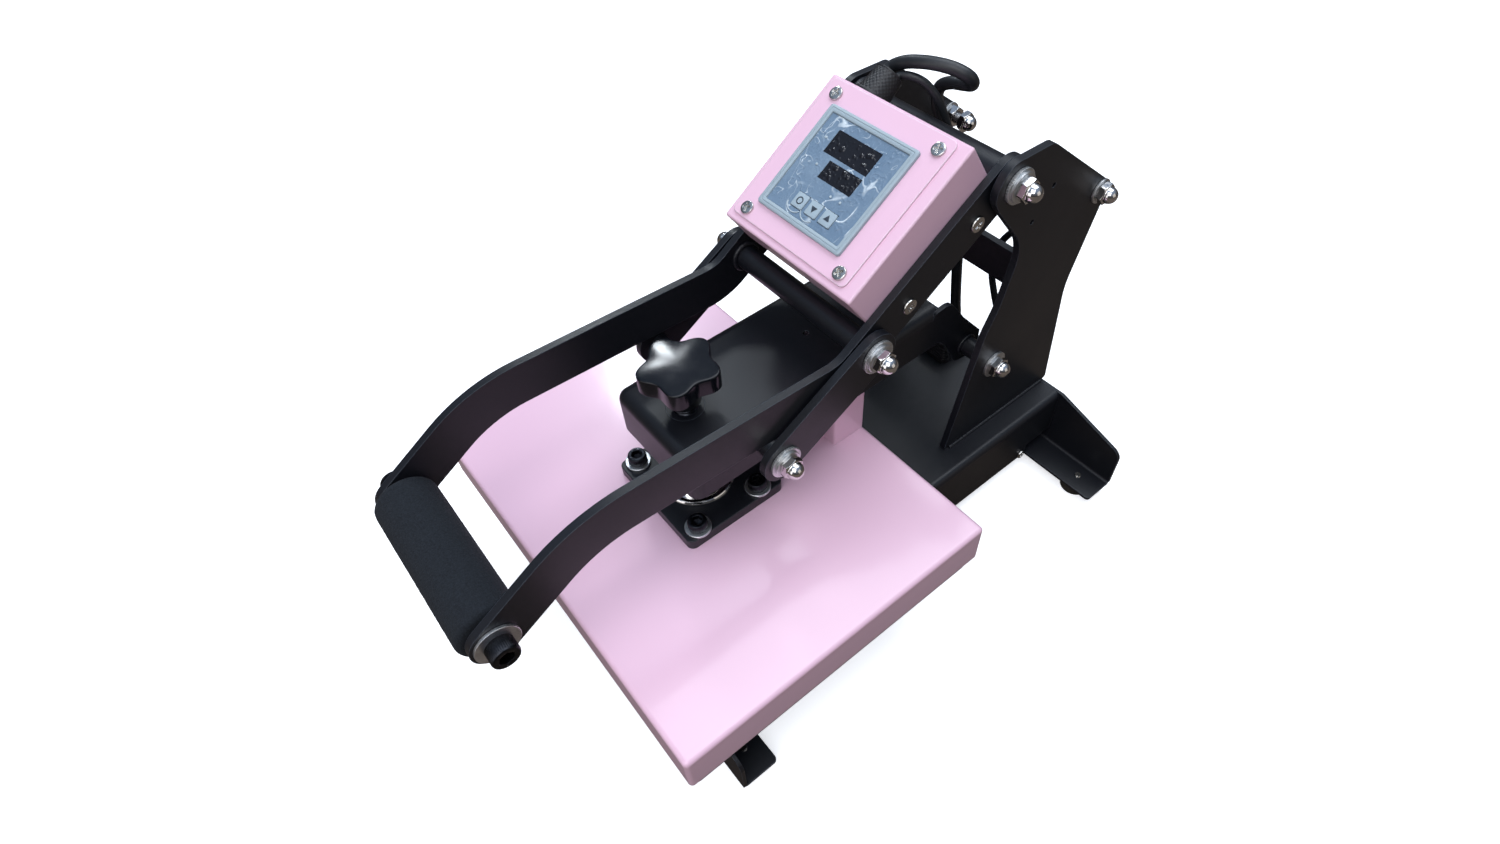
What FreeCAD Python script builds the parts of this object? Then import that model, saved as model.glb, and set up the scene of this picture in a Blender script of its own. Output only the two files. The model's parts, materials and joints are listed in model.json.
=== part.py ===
import FreeCAD, Part
import math
import os

# Tabletop clamshell press, closed. Millimetres, +Z up, table top at Z = 0, +Y to the back,
# X = 0 is the plane of symmetry and Y = 0 is the middle of the heated platen.
# "Right" is +X. Points of the linkage are (Y, Z) pairs. HW, HL, HX and HY are half sizes.

Vector = FreeCAD.Vector
SIDES = (1, -1)                       # right, left

# ---------------------------------------------------------------- driving dimensions
SHIFT_Y = -58.0                       # puts the files' origin under the middle of the footprint

PLATEN_W, PLATEN_L = 300.0, 236.0     # cover outside width (X) and length (Y)
COVER_TOP, COVER_BOT = 112.0, 79.4    # heights of the cover's top face and lower rim
COVER_T = 1.5
HEAT_T = 12.0                         # heat plate thickness
PAD_TOP = 76.6                        # silicone pad
LOWER_T = 2.6                         # steel plate under the pad
BASE_TOP, BASE_HW = 66.0, 88.0        # base channel
BASE_Y0, BASE_Y1 = -82.8, 285.5       # its front and back ends
BASE_T = 2.5
BASE_SIDE_BOT = 25.0                  # lower rim of the channel's sides
LEG_HW, LEG_D, LEG_FLANGE = 150.0, 28.0, 12.0   # leg half length, flange depth, flange top
FOOT_H, FOOT_R, FOOT_X = 9.5, 12.8, 130.0

ARM_PIVOT = (213.4, 134.3)            # press arm to uprights
HANDLE_PIVOT = (197.6, 289.1)         # handle to uprights
LINK_TOP = (93.0, 222.2)              # handle to toggle link
LINK_END = (22.4, 182.5)              # toggle link to press arm
CORNER = (289.1, 242.8)               # rear corner bolts of the uprights
GRIP = (-163.0, 182.0)                # grip axis

ARM_IN, ARM_OUT = 56.5, 61.5          # handle side arms, inner and outer faces
UP_IN, UP_OUT = 63.0, 68.0            # uprights and toggle links
BAND = 15.0                           # half width of the handle arms and links

ARM_ROD_R, HANDLE_ROD_R, LINK_PIN_R = 5.0, 5.0, 5.0
BOLT_R = 4.0                          # corner bolts and lower link studs
FIT = 0.02                            # radial clearance of fixed parts
RUN = 0.05                            # radial running clearance
BOLT_BORE = BOLT_R + FIT

CH_HW, CH_T = 42.0, 3.5               # press arm channel half width and wall
CH_TOP, CH_BOT = 189.5, 156.0
CH_Y0, CH_Y1 = -26.5, 178.0
CH_BEND_R = 8.0                       # outer bend radius
ARM_TUBE_R = 7.0

SCREW_R = 8.0                         # pressure screw
MOUNT_HX, MOUNT_HY, MOUNT_T = 42.5, 36.0, 8.0
MOUNT_TOP = COVER_TOP + MOUNT_T
MOUNT_SCREWS = [(x, y) for x in (35.0, -35.0) for y in (24.5, -24.5)]

BOX_C = (123.6, 291.85)               # (Y, Z) centre of the control box face
BOX_TILT = 33.28
BOX_HW, BOX_HL, BOX_D = 56.0, 53.1, 33.0
BOX_PLACE = FreeCAD.Placement(Vector(0, *BOX_C), FreeCAD.Rotation(Vector(1, 0, 0), BOX_TILT))

os.makedirs("parts", exist_ok=True)


def export(name, *shapes):
    """Write one shape, or several as a compound."""
    shape = shapes[0].copy() if len(shapes) == 1 else Part.makeCompound(list(shapes))
    shape.translate(Vector(0, SHIFT_Y, 0))
    shape.exportStep("parts/" + name + ".step")


# ---------------------------------------------------------------- solids
# The X ends of these may come in either order, so that left and right parts share code.
def box(x0, x1, y0, y1, z0, z1):
    x0, x1 = sorted((x0, x1))
    return Part.makeBox(x1 - x0, y1 - y0, z1 - z0, Vector(x0, y0, z0))


def square(half, z0, z1):
    return box(-half, half, -half, half, z0, z1)


def cyl_x(center, radius, x0, x1):
    x0, x1 = sorted((x0, x1))
    return Part.makeCylinder(radius, x1 - x0, Vector(x0, *center), Vector(1, 0, 0))


def cyl_y(x, z, radius, y0, length):
    return Part.makeCylinder(radius, length, Vector(x, y0, z), Vector(0, 1, 0))


def cyl_z(x, y, radius, z0, z1):
    return Part.makeCylinder(radius, z1 - z0, Vector(x, y, z0), Vector(0, 0, 1))


def tube_x(center, outer_r, inner_r, x0, x1):
    x0, x1 = sorted((x0, x1))
    return cyl_x(center, outer_r, x0, x1).cut(cyl_x(center, inner_r, x0 - 1, x1 + 1))


def drill_x(shape, x0, x1, holes):
    """Cut (centre, radius) holes through a plate lying between x0 and x1."""
    x0, x1 = sorted((x0, x1))
    for center, radius in holes:
        shape = shape.cut(cyl_x(center, radius, x0 - 1, x1 + 1))
    return shape


def drill_z(shape, points, radius, z0, z1):
    for x, y in points:
        shape = shape.cut(cyl_z(x, y, radius, z0, z1))
    return shape


def rounded(points, to3d):
    """Closed wire from (u, v, radius) corners; to3d maps (u, v) to a vector."""
    corners = []                      # (start, middle or None, end) of each corner's arc
    for i, point in enumerate(points):
        u, v = point[:2]
        before = points[i - 1]
        after = points[(i + 1) % len(points)]
        radius = point[2] if len(point) > 2 else 0.0
        ax, ay = before[0] - u, before[1] - v
        bx, by = after[0] - u, after[1] - v
        len_a, len_b = math.hypot(ax, ay), math.hypot(bx, by)
        ax, ay, bx, by = ax / len_a, ay / len_a, bx / len_b, by / len_b
        angle = math.acos(max(-1.0, min(1.0, ax * bx + ay * by)))
        if radius <= 0 or angle > math.pi - 1e-3:
            corners.append(((u, v), None, (u, v)))
            continue
        setback = radius / math.tan(angle / 2)
        mx, my = ax + bx, ay + by
        len_m = math.hypot(mx, my)
        reach = radius / math.sin(angle / 2) - radius
        corners.append(((u + ax * setback, v + ay * setback),
                        (u + mx / len_m * reach, v + my / len_m * reach),
                        (u + bx * setback, v + by * setback)))
    edges = []
    for i, (start, middle, end) in enumerate(corners):
        if middle is not None:
            edges.append(Part.Arc(to3d(*start), to3d(*middle), to3d(*end)).toShape())
        line_start = to3d(*end)
        line_end = to3d(*corners[(i + 1) % len(corners)][0])
        if line_start.distanceToPoint(line_end) > 1e-6:
            edges.append(Part.makeLine(line_start, line_end))
    return Part.Wire(edges)


def prism_x(points, x0, x1):
    """Plate cut to a (Y, Z) outline."""
    x0, x1 = sorted((x0, x1))
    wire = rounded(points, lambda u, v: Vector(x0, u, v))
    return Part.Face(wire).extrude(Vector(x1 - x0, 0, 0))


def prism_y(points, y0, y1):
    """Plate cut to an (X, Z) outline."""
    wire = rounded(points, lambda u, v: Vector(u, y0, v))
    return Part.Face(wire).extrude(Vector(0, y1 - y0, 0))


def prism_z(points, z0, z1):
    """Plate cut to an (X, Y) outline."""
    wire = rounded(points, lambda u, v: Vector(u, v, z0))
    return Part.Face(wire).extrude(Vector(0, 0, z1 - z0))


def rect(hx, hy, radius, cx=0.0, cy=0.0):
    return [(cx - hx, cy - hy, radius), (cx + hx, cy - hy, radius),
            (cx + hx, cy + hy, radius), (cx - hx, cy + hy, radius)]


def hex_points(center, flats, turn):
    """Corners of a hexagon, from its width across flats."""
    radius = flats / math.sqrt(3)
    angles = [math.radians(60 * k + turn) for k in range(6)]
    return [(center[0] + radius * math.cos(a), center[1] + radius * math.sin(a)) for a in angles]


def hexagon(center, flats, x0, x1, turn):
    return prism_x(hex_points(center, flats, turn), x0, x1)


# ---------------------------------------------------------------- edges and fillets
def fillet(shape, pick, radius):
    return shape.makeFillet(radius, [e for e in shape.Edges if pick(e)])


def along(edge, axis):
    """True for a straight edge parallel to the axis."""
    if edge.Curve.TypeId != "Part::GeomLine":
        return False
    step = edge.Vertexes[-1].Point.sub(edge.Vertexes[0].Point)
    length = step.Length
    return length > 1e-6 and abs(abs(step.dot(Vector(*axis))) - length) < 1e-4 * length


def is_upright(edge):
    return along(edge, (0, 0, 1))


def is_circle(edge):
    return edge.Curve.TypeId == "Part::GeomCircle"


def starts_at(edge, z):
    return abs(edge.BoundBox.ZMin - z) < 1e-6


def round_hood(shape, top, radius):
    """Round the upright edges and the edges of the top face."""
    return fillet(shape, lambda e: is_upright(e) or starts_at(e, top), radius)


# ---------------------------------------------------------------- fasteners
def acorn(center, flats, x, side, bore, thick, dome, turn):
    """Domed nut seated at x, pointing to +X for side 1 and to -X for side -1."""
    top = x + side * thick
    outward = Vector(side, 0, 0)
    seat, shoulder = Vector(x, *center), Vector(top, *center)
    nut = hexagon(center, flats, x, top, turn)
    chamfer = Part.makeCone(flats * 0.5, flats * 0.62, thick * 0.5, shoulder, outward * -1)
    skirt = Part.makeCylinder(flats * 0.62, thick * 0.5, seat, outward)
    nut = nut.common(chamfer.fuse(skirt))
    dome_r = flats * 0.43
    neck = dome - dome_r
    dome_base = Vector(top + side * neck, *center)
    tip = Part.makeCylinder(dome_r, neck, shoulder, outward)
    ball = Part.makeSphere(dome_r, dome_base)
    half = Part.makeCylinder(dome_r + 1, dome_r + 1, dome_base, outward)
    nut = nut.fuse([tip, ball.common(half)])
    hole = Part.makeCylinder(bore, thick + neck, seat, outward)
    return nut.cut(hole).removeSplitter()


def washers(center, bore, x, side, sizes):
    """Stack of washers growing outward from x; sizes are (outer radius, thickness)."""
    stack = []
    for radius, thick in sizes:
        stack.append(tube_x(center, radius, bore, x, x + side * thick))
        x += side * thick
    return stack


def pan_screw(seat, direction, head_r, head_h, shank_r, length):
    """Pan head screw: seat is under the head, the shank runs along direction."""
    seat, inward = Vector(*seat), Vector(*direction)
    outward = inward * -1
    rim_h = head_h * 0.55
    head = Part.makeCylinder(head_r, rim_h, seat, outward)
    cap = Part.makeCone(head_r, head_r * 0.62, head_h * 0.45, seat + outward * rim_h, outward)
    shank = Part.makeCylinder(shank_r, length, seat, inward)
    return head.fuse([cap, shank]).removeSplitter()


# ---------------------------------------------------------------- base
TRAY_HW = BASE_HW - BASE_T - 0.2
TRAY_OUT = BASE_HW - 0.4              # the tray's wall is joggled out below the channel's rim
TRAY_T = 1.5
TRAY_Y0, TRAY_Y1 = BASE_Y0 + LEG_D, BASE_Y1 - LEG_D
TRAY_SCREWS = [(side, y) for side in SIDES for y in (TRAY_Y1 - 6.0, TRAY_Y0 + 6.0)]
TRAY_SCREW_Z = 17.5
FOOT_INSET = 15.0                     # from the leg's outer face
FEET = [(side * FOOT_X, y) for side in SIDES
        for y in (BASE_Y0 - BASE_T + FOOT_INSET, BASE_Y1 + BASE_T - FOOT_INSET)]
FOOT_POCKET = 4.0                     # depth of the screw head recess
FOOT_SCREW_BORE = 2.6
INLET_X, INLET_Z = -52.0, 41.0        # middle of the mains inlet
ANCHOR_X, ANCHOR_Y, ANCHOR_H = -8.0, 256.0, 20.0
CORD_X, CORD_Y = ANCHOR_X + 3.0, ANCHOR_Y + 4.0      # cord hole in the anchor
ANCHOR_SCREWS = [(ANCHOR_X - 9.5, ANCHOR_Y - 11.0), (ANCHOR_X + 9.5, ANCHOR_Y - 11.0)]
SMALL_BORE = 2.1                      # clearance hole of the 2.0 radius screws


def base_channel():
    wall, bend = BASE_HW - BASE_T, 5.0
    section = [
        (-BASE_HW, BASE_SIDE_BOT, 0), (-BASE_HW, BASE_TOP, bend),
        (BASE_HW, BASE_TOP, bend), (BASE_HW, BASE_SIDE_BOT, 0),
        (wall, BASE_SIDE_BOT, 0), (wall, BASE_TOP - BASE_T, bend - BASE_T),
        (-wall, BASE_TOP - BASE_T, bend - BASE_T), (-wall, BASE_SIDE_BOT, 0)]
    channel = prism_y(section, BASE_Y0, BASE_Y1)
    return drill_z(channel, ANCHOR_SCREWS, SMALL_BORE, BASE_TOP - 5, BASE_TOP + 1)


def bottom_tray():
    bottom, step, top = 10.6, 24.6, 40.0
    right_wall = [                    # (X, Z, corner radius), outside up, then inside down
        (TRAY_OUT, bottom, 3.0), (TRAY_OUT, step), (TRAY_HW, step), (TRAY_HW, top),
        (TRAY_HW - TRAY_T, top), (TRAY_HW - TRAY_T, step - TRAY_T),
        (TRAY_OUT - TRAY_T, step - TRAY_T), (TRAY_OUT - TRAY_T, bottom + TRAY_T, 1.5)]
    left_wall = [(-p[0],) + p[1:] for p in reversed(right_wall)]
    tray = prism_y(right_wall + left_wall, TRAY_Y0, TRAY_Y1)
    for side, y in TRAY_SCREWS:
        x0, x1 = side * (TRAY_OUT - 4), side * (TRAY_OUT + 4)
        tray = tray.cut(cyl_x((y, TRAY_SCREW_Z), SMALL_BORE, x0, x1))
    return tray


def front_leg():
    """Angle bracket across the front end, its flange pointing back."""
    front, web_back = BASE_Y0 - BASE_T, BASE_Y0
    bottom, shoulder = LEG_FLANGE - BASE_T, 46.0
    web = prism_y([(-LEG_HW, bottom, 2), (-LEG_HW, shoulder, 10), (-BASE_HW - 2, BASE_TOP, 6),
                   (BASE_HW + 2, BASE_TOP, 6), (LEG_HW, shoulder, 10), (LEG_HW, bottom, 2)],
                  front, web_back)
    back = front + LEG_D
    flange = prism_z([(-LEG_HW, front, 3), (LEG_HW, front, 3),
                      (LEG_HW, back, 3), (-LEG_HW, back, 3)], bottom, LEG_FLANGE)
    bracket = web.fuse(flange).removeSplitter()

    def inside_bend(edge):
        if not along(edge, (1, 0, 0)):
            return False
        end = edge.Vertexes[0]
        return abs(end.Y - web_back) < 1e-3 and abs(end.Z - LEG_FLANGE) < 1e-3

    bracket = fillet(bracket, inside_bend, 2.5)
    holes = [(side * FOOT_X, front + FOOT_INSET) for side in SIDES]
    return drill_z(bracket, holes, FOOT_SCREW_BORE, 0, 30)


def leg_brackets():
    front = front_leg()
    rear = front.copy()
    rear.rotate(Vector(0, (BASE_Y0 + BASE_Y1) / 2, 0), Vector(0, 0, 1), 180)
    rear = rear.cut(inlet_box(14, 10, BASE_Y1 - 1, BASE_Y1 + 10))
    return front, rear


def inlet_box(hx, hz, y0, y1):
    return box(INLET_X - hx, INLET_X + hx, y0, y1, INLET_Z - hz, INLET_Z + hz)


def mains_inlet():
    web_face = BASE_Y1 + BASE_T
    body = inlet_box(13.8, 9.8, BASE_Y1 - 24, web_face)
    flange = inlet_box(16.5, 12.5, web_face, web_face + 2.5)
    flange = fillet(flange, lambda e: along(e, (0, 1, 0)), 2.0)
    well = inlet_box(12, 8, BASE_Y1 - 14, BASE_Y1 + 10)
    inlet = body.fuse(flange).cut(well).removeSplitter()
    pins = []
    for dx, dz in ((-7, -1.5), (0, 2.0), (7, -1.5)):
        x, z = INLET_X + dx, INLET_Z + dz
        pins.append(box(x - 1, x + 1, BASE_Y1 - 16, BASE_Y1 - 1, z - 2, z + 2))
    return inlet.fuse(pins).removeSplitter()


def rubber_foot(x, y):
    foot = Part.makeCone(FOOT_R - 1.5, FOOT_R, FOOT_H, Vector(x, y, 0), Vector(0, 0, 1))
    foot = foot.cut(cyl_z(x, y, 5.2, -1, FOOT_POCKET))
    return foot.cut(cyl_z(x, y, FOOT_SCREW_BORE, 0, 12))


def cord_anchor():
    """Block on top of the channel, between the uprights."""
    top = BASE_TOP + ANCHOR_H
    block = box(ANCHOR_X - 14, ANCHOR_X + 14, ANCHOR_Y - 16, ANCHOR_Y + 16, BASE_TOP, top)
    block = fillet(block, is_upright, 5.0)
    block = block.cut(cyl_z(CORD_X, CORD_Y, 5.5, BASE_TOP + 4, BASE_TOP + 30))
    return drill_z(block, ANCHOR_SCREWS, SMALL_BORE, BASE_TOP - 1, BASE_TOP + 30)


def base_pan_screws():
    small = dict(head_r=3.8, head_h=2.2, shank_r=2.0)
    screws = [pan_screw((side * TRAY_OUT, y, TRAY_SCREW_Z), (-side, 0, 0), length=6.0, **small)
              for side, y in TRAY_SCREWS]
    screws += [pan_screw((x, y, FOOT_POCKET), (0, 0, 1), head_r=4.6, head_h=2.6, shank_r=2.5,
                         length=LEG_FLANGE - FOOT_POCKET + 1.2)
               for x, y in FEET]
    screws += [pan_screw((x, y, BASE_TOP + ANCHOR_H), (0, 0, -1), length=24.0, **small)
               for x, y in ANCHOR_SCREWS]
    return screws


export("leg_brackets", *leg_brackets())
export("mains_inlet", mains_inlet())
export("rubber_feet", *[rubber_foot(x, y) for x, y in FEET])
export("cord_anchor", cord_anchor())
export("base_pan_screws", *base_pan_screws())
export("base_bottom_tray", bottom_tray())
export("base_channel", base_channel())

pad_outline = rect(146.0, 114.0, 4.0)
export("lower_plate", prism_z(pad_outline, BASE_TOP, BASE_TOP + LOWER_T))
export("silicone_pad", prism_z(pad_outline, BASE_TOP + LOWER_T, PAD_TOP))

# ---------------------------------------------------------------- uprights
UPRIGHT = [                           # (Y, Z, corner radius), from the front foot round the back
    (175.0, BASE_TOP, 1.5), (291.5, BASE_TOP, 3.0), (280.5, 168.0, 60.0), (296.3, 231.0, 8.0),
    (295.0, 248.5, 7.0), (224.8, 304.6, 9.0), (188.0, 305.8, 14.0), (177.5, 288.0, 14.0),
    (184.5, 277.0, 12.0), (217.0, 236.0, 34.0), (206.0, 190.0, 60.0), (197.0, 170.0, 60.0)]
UPRIGHT_HOLES = [                     # (centre, radius)
    (ARM_PIVOT, ARM_ROD_R + FIT), (HANDLE_PIVOT, HANDLE_ROD_R + FIT), (CORNER, BOLT_BORE),
    ((233.9, 272.5), 1.8), ((219.9, 252.7), 1.8)]


def upright(side):
    x0, x1 = side * UP_IN, side * UP_OUT
    return drill_x(prism_x(UPRIGHT, x0, x1), x0, x1, UPRIGHT_HOLES)


export("upright_right", upright(1))
export("upright_left", upright(-1))
export("cross_brace", box(-UP_IN, UP_IN, 240.0, 245.0, 178.0, 206.0))


def pivot_rod(center, radius, half):
    return cyl_x(center, radius, -half, half)


export("pivot_rods",
       pivot_rod(HANDLE_PIVOT, HANDLE_ROD_R, UP_OUT + 9.8),
       pivot_rod(ARM_PIVOT, ARM_ROD_R, UP_OUT + 7.5))

# washer stacks as (outer radius, thickness)
HANDLE_WASHERS = [(11.3, 2.2), (9.6, 1.8)]
ARM_WASHERS = [(10.2, 2.0)]
CORNER_WASHERS = [(8.5, 1.6)]
# both corner bolts point to +X: the -X and +X faces of their upright, length beyond the +X face
RIGHT_BOLT = (UP_IN, UP_OUT, 6.8)
LEFT_BOLT = (-UP_OUT, -UP_IN, 18.7)


def stack_height(sizes):
    return sum(thick for _, thick in sizes)


def corner_bolt(head_face, far_face, stick):
    head = hexagon(CORNER, 13.0, head_face - 5.5, head_face, 5.0)
    return head.fuse(cyl_x(CORNER, BOLT_R, head_face, far_face + stick)).removeSplitter()


def handle_nut(side):
    return acorn(HANDLE_PIVOT, 13.6, side * (UP_OUT + stack_height(HANDLE_WASHERS)), side,
                 bore=HANDLE_ROD_R + FIT, thick=5.5, dome=6.6, turn=10.0)


def arm_nut(side):
    return acorn(ARM_PIVOT, 14.0, side * (UP_OUT + stack_height(ARM_WASHERS)), side,
                 bore=ARM_ROD_R + FIT, thick=5.2, dome=6.6, turn=24.0)


def corner_acorn(x):
    return acorn(CORNER, 13.0, x, 1, bore=BOLT_BORE, thick=5.0, dome=6.2, turn=8.0)


def corner_nuts():
    """An acorn on the right bolt; a plain lock nut and an acorn on the left one."""
    face = -UP_IN
    seat = stack_height(CORNER_WASHERS)
    plain = hexagon(CORNER, 13.0, face + seat, face + 8.1, 20.0)
    plain = plain.cut(cyl_x(CORNER, BOLT_BORE, face, face + 10))
    return [corner_acorn(UP_OUT + seat), plain, corner_acorn(face + 13.5)]


def frame_washers():
    result = []
    for side in SIDES:
        x = side * UP_OUT
        result += washers(HANDLE_PIVOT, HANDLE_ROD_R + FIT, x, side, HANDLE_WASHERS)
        result += washers(ARM_PIVOT, ARM_ROD_R + FIT, x, side, ARM_WASHERS)
    for _, far_face, _ in (RIGHT_BOLT, LEFT_BOLT):
        result += washers(CORNER, BOLT_BORE, far_face, 1, CORNER_WASHERS)
    return result


export("corner_bolts", corner_bolt(*RIGHT_BOLT), corner_bolt(*LEFT_BOLT))
export("main_acorn_nuts", *[handle_nut(side) for side in SIDES])
export("frame_acorn_nuts", *[arm_nut(side) for side in SIDES], *corner_nuts())
export("frame_washers", *frame_washers())

# ---------------------------------------------------------------- handle
# centre line of a side arm: (Y, Z) points and bend radii, from the grip to the pivot
HANDLE_LINE = [GRIP, (-101.6, 218.1), (74.0, 210.0), HANDLE_PIVOT]
HANDLE_BENDS = [0, 90.0, 38.0, 0]
BOX_MOUNTS = [(174.5, 270.6), (123.7, 238.1)]        # (Y, Z) screws that carry the control box
GRIP_BORE = 5.1
PIVOT_TUBE_END_R = 8.0


def offset_band(points, radii, half):
    """Outline of a constant-width band about a polyline; corners keep concentric radii."""
    def edge_line(hand):
        shift = half * hand
        line = []
        last = len(points) - 1
        for i, (y, z) in enumerate(points):
            if i in (0, last):
                start, end = points[:2] if i == 0 else points[-2:]
                dy, dz = end[0] - start[0], end[1] - start[1]
                length = math.hypot(dy, dz)
                line.append((y - dz / length * shift, z + dy / length * shift, 0.0))
                continue
            before, after = points[i - 1], points[i + 1]
            angle_in = math.atan2(z - before[1], y - before[0])
            angle_out = math.atan2(after[1] - z, after[0] - y)
            turn = (angle_out - angle_in + math.pi) % (2 * math.pi) - math.pi
            miter = angle_in + turn / 2 + math.pi / 2
            reach = shift / math.cos(turn / 2)
            line.append((y + math.cos(miter) * reach, z + math.sin(miter) * reach,
                         radii[i] - math.copysign(1, turn) * shift))
        return line
    return edge_line(1) + edge_line(-1)[::-1]


def handle_arm(side):
    x0, x1 = side * ARM_IN, side * ARM_OUT
    arm = prism_x(offset_band(HANDLE_LINE, HANDLE_BENDS, BAND), x0, x1)
    arm = arm.fuse([cyl_x(GRIP, BAND, x0, x1), cyl_x(HANDLE_PIVOT, BAND, x0, x1)])
    holes = [(GRIP, GRIP_BORE), (HANDLE_PIVOT, PIVOT_TUBE_END_R), (LINK_TOP, LINK_PIN_R + FIT)]
    holes += [(center, 2.3) for center in BOX_MOUNTS]
    return drill_x(arm.removeSplitter(), x0, x1, holes)


def handle_pivot_tube():
    """Tube turning on the pivot rod, its thinner ends let into the arms."""
    bore = HANDLE_ROD_R + RUN
    tube = tube_x(HANDLE_PIVOT, 11.0, bore, -ARM_IN, ARM_IN)
    ends = [tube_x(HANDLE_PIVOT, PIVOT_TUBE_END_R, bore, side * ARM_IN, side * (ARM_OUT + 0.8))
            for side in SIDES]
    return tube.fuse(ends).removeSplitter()


def handle_cross_tube():
    """Tube between the arms with a weld bead at each end."""
    radius = 8.0
    tube = tube_x(LINK_TOP, radius, LINK_PIN_R + RUN, -ARM_IN, ARM_IN)
    beads = []
    for side in SIDES:
        ring = Part.makeTorus(radius, 1.6, Vector(side * ARM_IN, *LINK_TOP), Vector(1, 0, 0))
        beads.append(ring.common(box(-ARM_IN, ARM_IN, -400, 400, 0, 400)))
    return tube.fuse(beads).removeSplitter()


export("handle_arm_right", handle_arm(1))
export("handle_arm_left", handle_arm(-1))
export("handle_pivot_tube", handle_pivot_tube())
export("handle_cross_tube", handle_cross_tube())
export("link_pin_rod", pivot_rod(LINK_TOP, LINK_PIN_R, UP_OUT + 9.0))

PIN_WASHERS_X = UP_OUT + 0.1
PIN_WASHERS = [(11.2, 2.0), (9.2, 1.6)]


def link_pin_nut(side):
    return acorn(LINK_TOP, 13.4, side * (PIN_WASHERS_X + stack_height(PIN_WASHERS)), side,
                 bore=LINK_PIN_R + FIT, thick=5.2, dome=6.4, turn=12.0)


def link_pin_washers():
    """A spacer between arm and link, and two washers outside the link, on each side."""
    bore = LINK_PIN_R + FIT
    result = []
    for side in SIDES:
        result += washers(LINK_TOP, bore, side * ARM_OUT, side, [(8.0, 1.35)])
        result += washers(LINK_TOP, bore, side * PIN_WASHERS_X, side, PIN_WASHERS)
    return result


export("link_pin_nuts", *[link_pin_nut(side) for side in SIDES])
export("link_pin_washers", *link_pin_washers())

GRIP_CORE_R, FOAM_R, FOAM_HALF = 11.0, 19.0, 54.5
GRIP_WASHERS = [(13.0, 2.0)]


def foam_grip():
    foam = tube_x(GRIP, FOAM_R, GRIP_CORE_R, -FOAM_HALF, FOAM_HALF)
    return fillet(foam, lambda e: is_circle(e) and abs(e.Curve.Radius - FOAM_R) < 1e-3, 3.0)


def grip_screw(side):
    """Socket head screw into the end of the grip core."""
    seat = side * (ARM_OUT + stack_height(GRIP_WASHERS))
    end = seat + side * 9.5
    head = cyl_x(GRIP, 8.2, seat, end)
    head = fillet(head, lambda e: is_circle(e) and abs(e.Vertexes[0].X - end) < 1e-3, 1.0)
    socket = hexagon(GRIP, 8.0, seat + side * 4.0, seat + side * 12, 15.0)
    shank = cyl_x(GRIP, 5.0, seat, seat - side * 34)
    return head.fuse(shank).cut(socket).removeSplitter()


def grip_washer(side):
    return washers(GRIP, GRIP_BORE, side * ARM_OUT, side, GRIP_WASHERS)[0]


export("grip_core_tube", tube_x(GRIP, GRIP_CORE_R, GRIP_BORE, -ARM_IN, ARM_IN))
export("foam_grip", foam_grip())
export("grip_screws", *[grip_screw(side) for side in SIDES])
export("grip_washers", *[grip_washer(side) for side in SIDES])

# ---------------------------------------------------------------- control box
# Built in box coordinates: x across, y up the face, z out of the face, origin mid face.
PLATE_T = 1.2
PLATE_HW, PLATE_HL = 50.0, 49.65      # face plate, laid on the shell's front wall
PLATE_CX, PLATE_CY = -2.5, 1.35
PANEL_CX, PANEL_CY = -3.5, 0.4        # middle of the control panel
BOX_WALL = 1.5
FACE_SCREWS = [(side * 41.3 - 1.6, y) for side in SIDES for y in (42.3, -42.3)]
GLAND_X, GLAND_Z = -34.0, -BOX_D + 16.0               # gland axis through the upper end wall


def on_box(shape):
    """Move a shape from box coordinates to its place."""
    shape = shape.copy()
    shape.Placement = BOX_PLACE.multiply(shape.Placement)
    return shape


def on_panel(shape):
    """Move a shape built about the panel's middle to its place."""
    shape = shape.copy()
    shape.translate(Vector(PANEL_CX, PANEL_CY, 0))
    return on_box(shape)


def panel_square(half, z0, z1):
    return box(PANEL_CX - half, PANEL_CX + half, PANEL_CY - half, PANEL_CY + half, z0, z1)


def box_shell():
    outer = box(-BOX_HW, BOX_HW, -BOX_HL, BOX_HL, -BOX_D, -PLATE_T)
    outer = fillet(outer, lambda e: True, 1.5)
    hw, hl = BOX_HW - BOX_WALL, BOX_HL - BOX_WALL
    inner = box(-hw, hw, -hl, hl, -BOX_D + BOX_WALL, -PLATE_T - BOX_WALL)
    shell = outer.cut([inner, panel_square(36.5, -8, 5)])
    shell = shell.cut(cyl_y(GLAND_X, GLAND_Z, 9.6, BOX_HL - 5, 10))
    for x, y in FACE_SCREWS:
        boss = cyl_z(x, y, 4.0, -10.0, -PLATE_T - 1.0)
        shell = shell.fuse(boss).cut(cyl_z(x, y, 2.0, -12.0, 5))
    return shell.removeSplitter()


def face_plate():
    plate = prism_z(rect(PLATE_HW, PLATE_HL, 4.0, PLATE_CX, PLATE_CY), -PLATE_T, 0.0)
    plate = plate.cut(panel_square(35.2, -5, 5))
    return drill_z(plate, FACE_SCREWS, SMALL_BORE, -5, 5)


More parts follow.
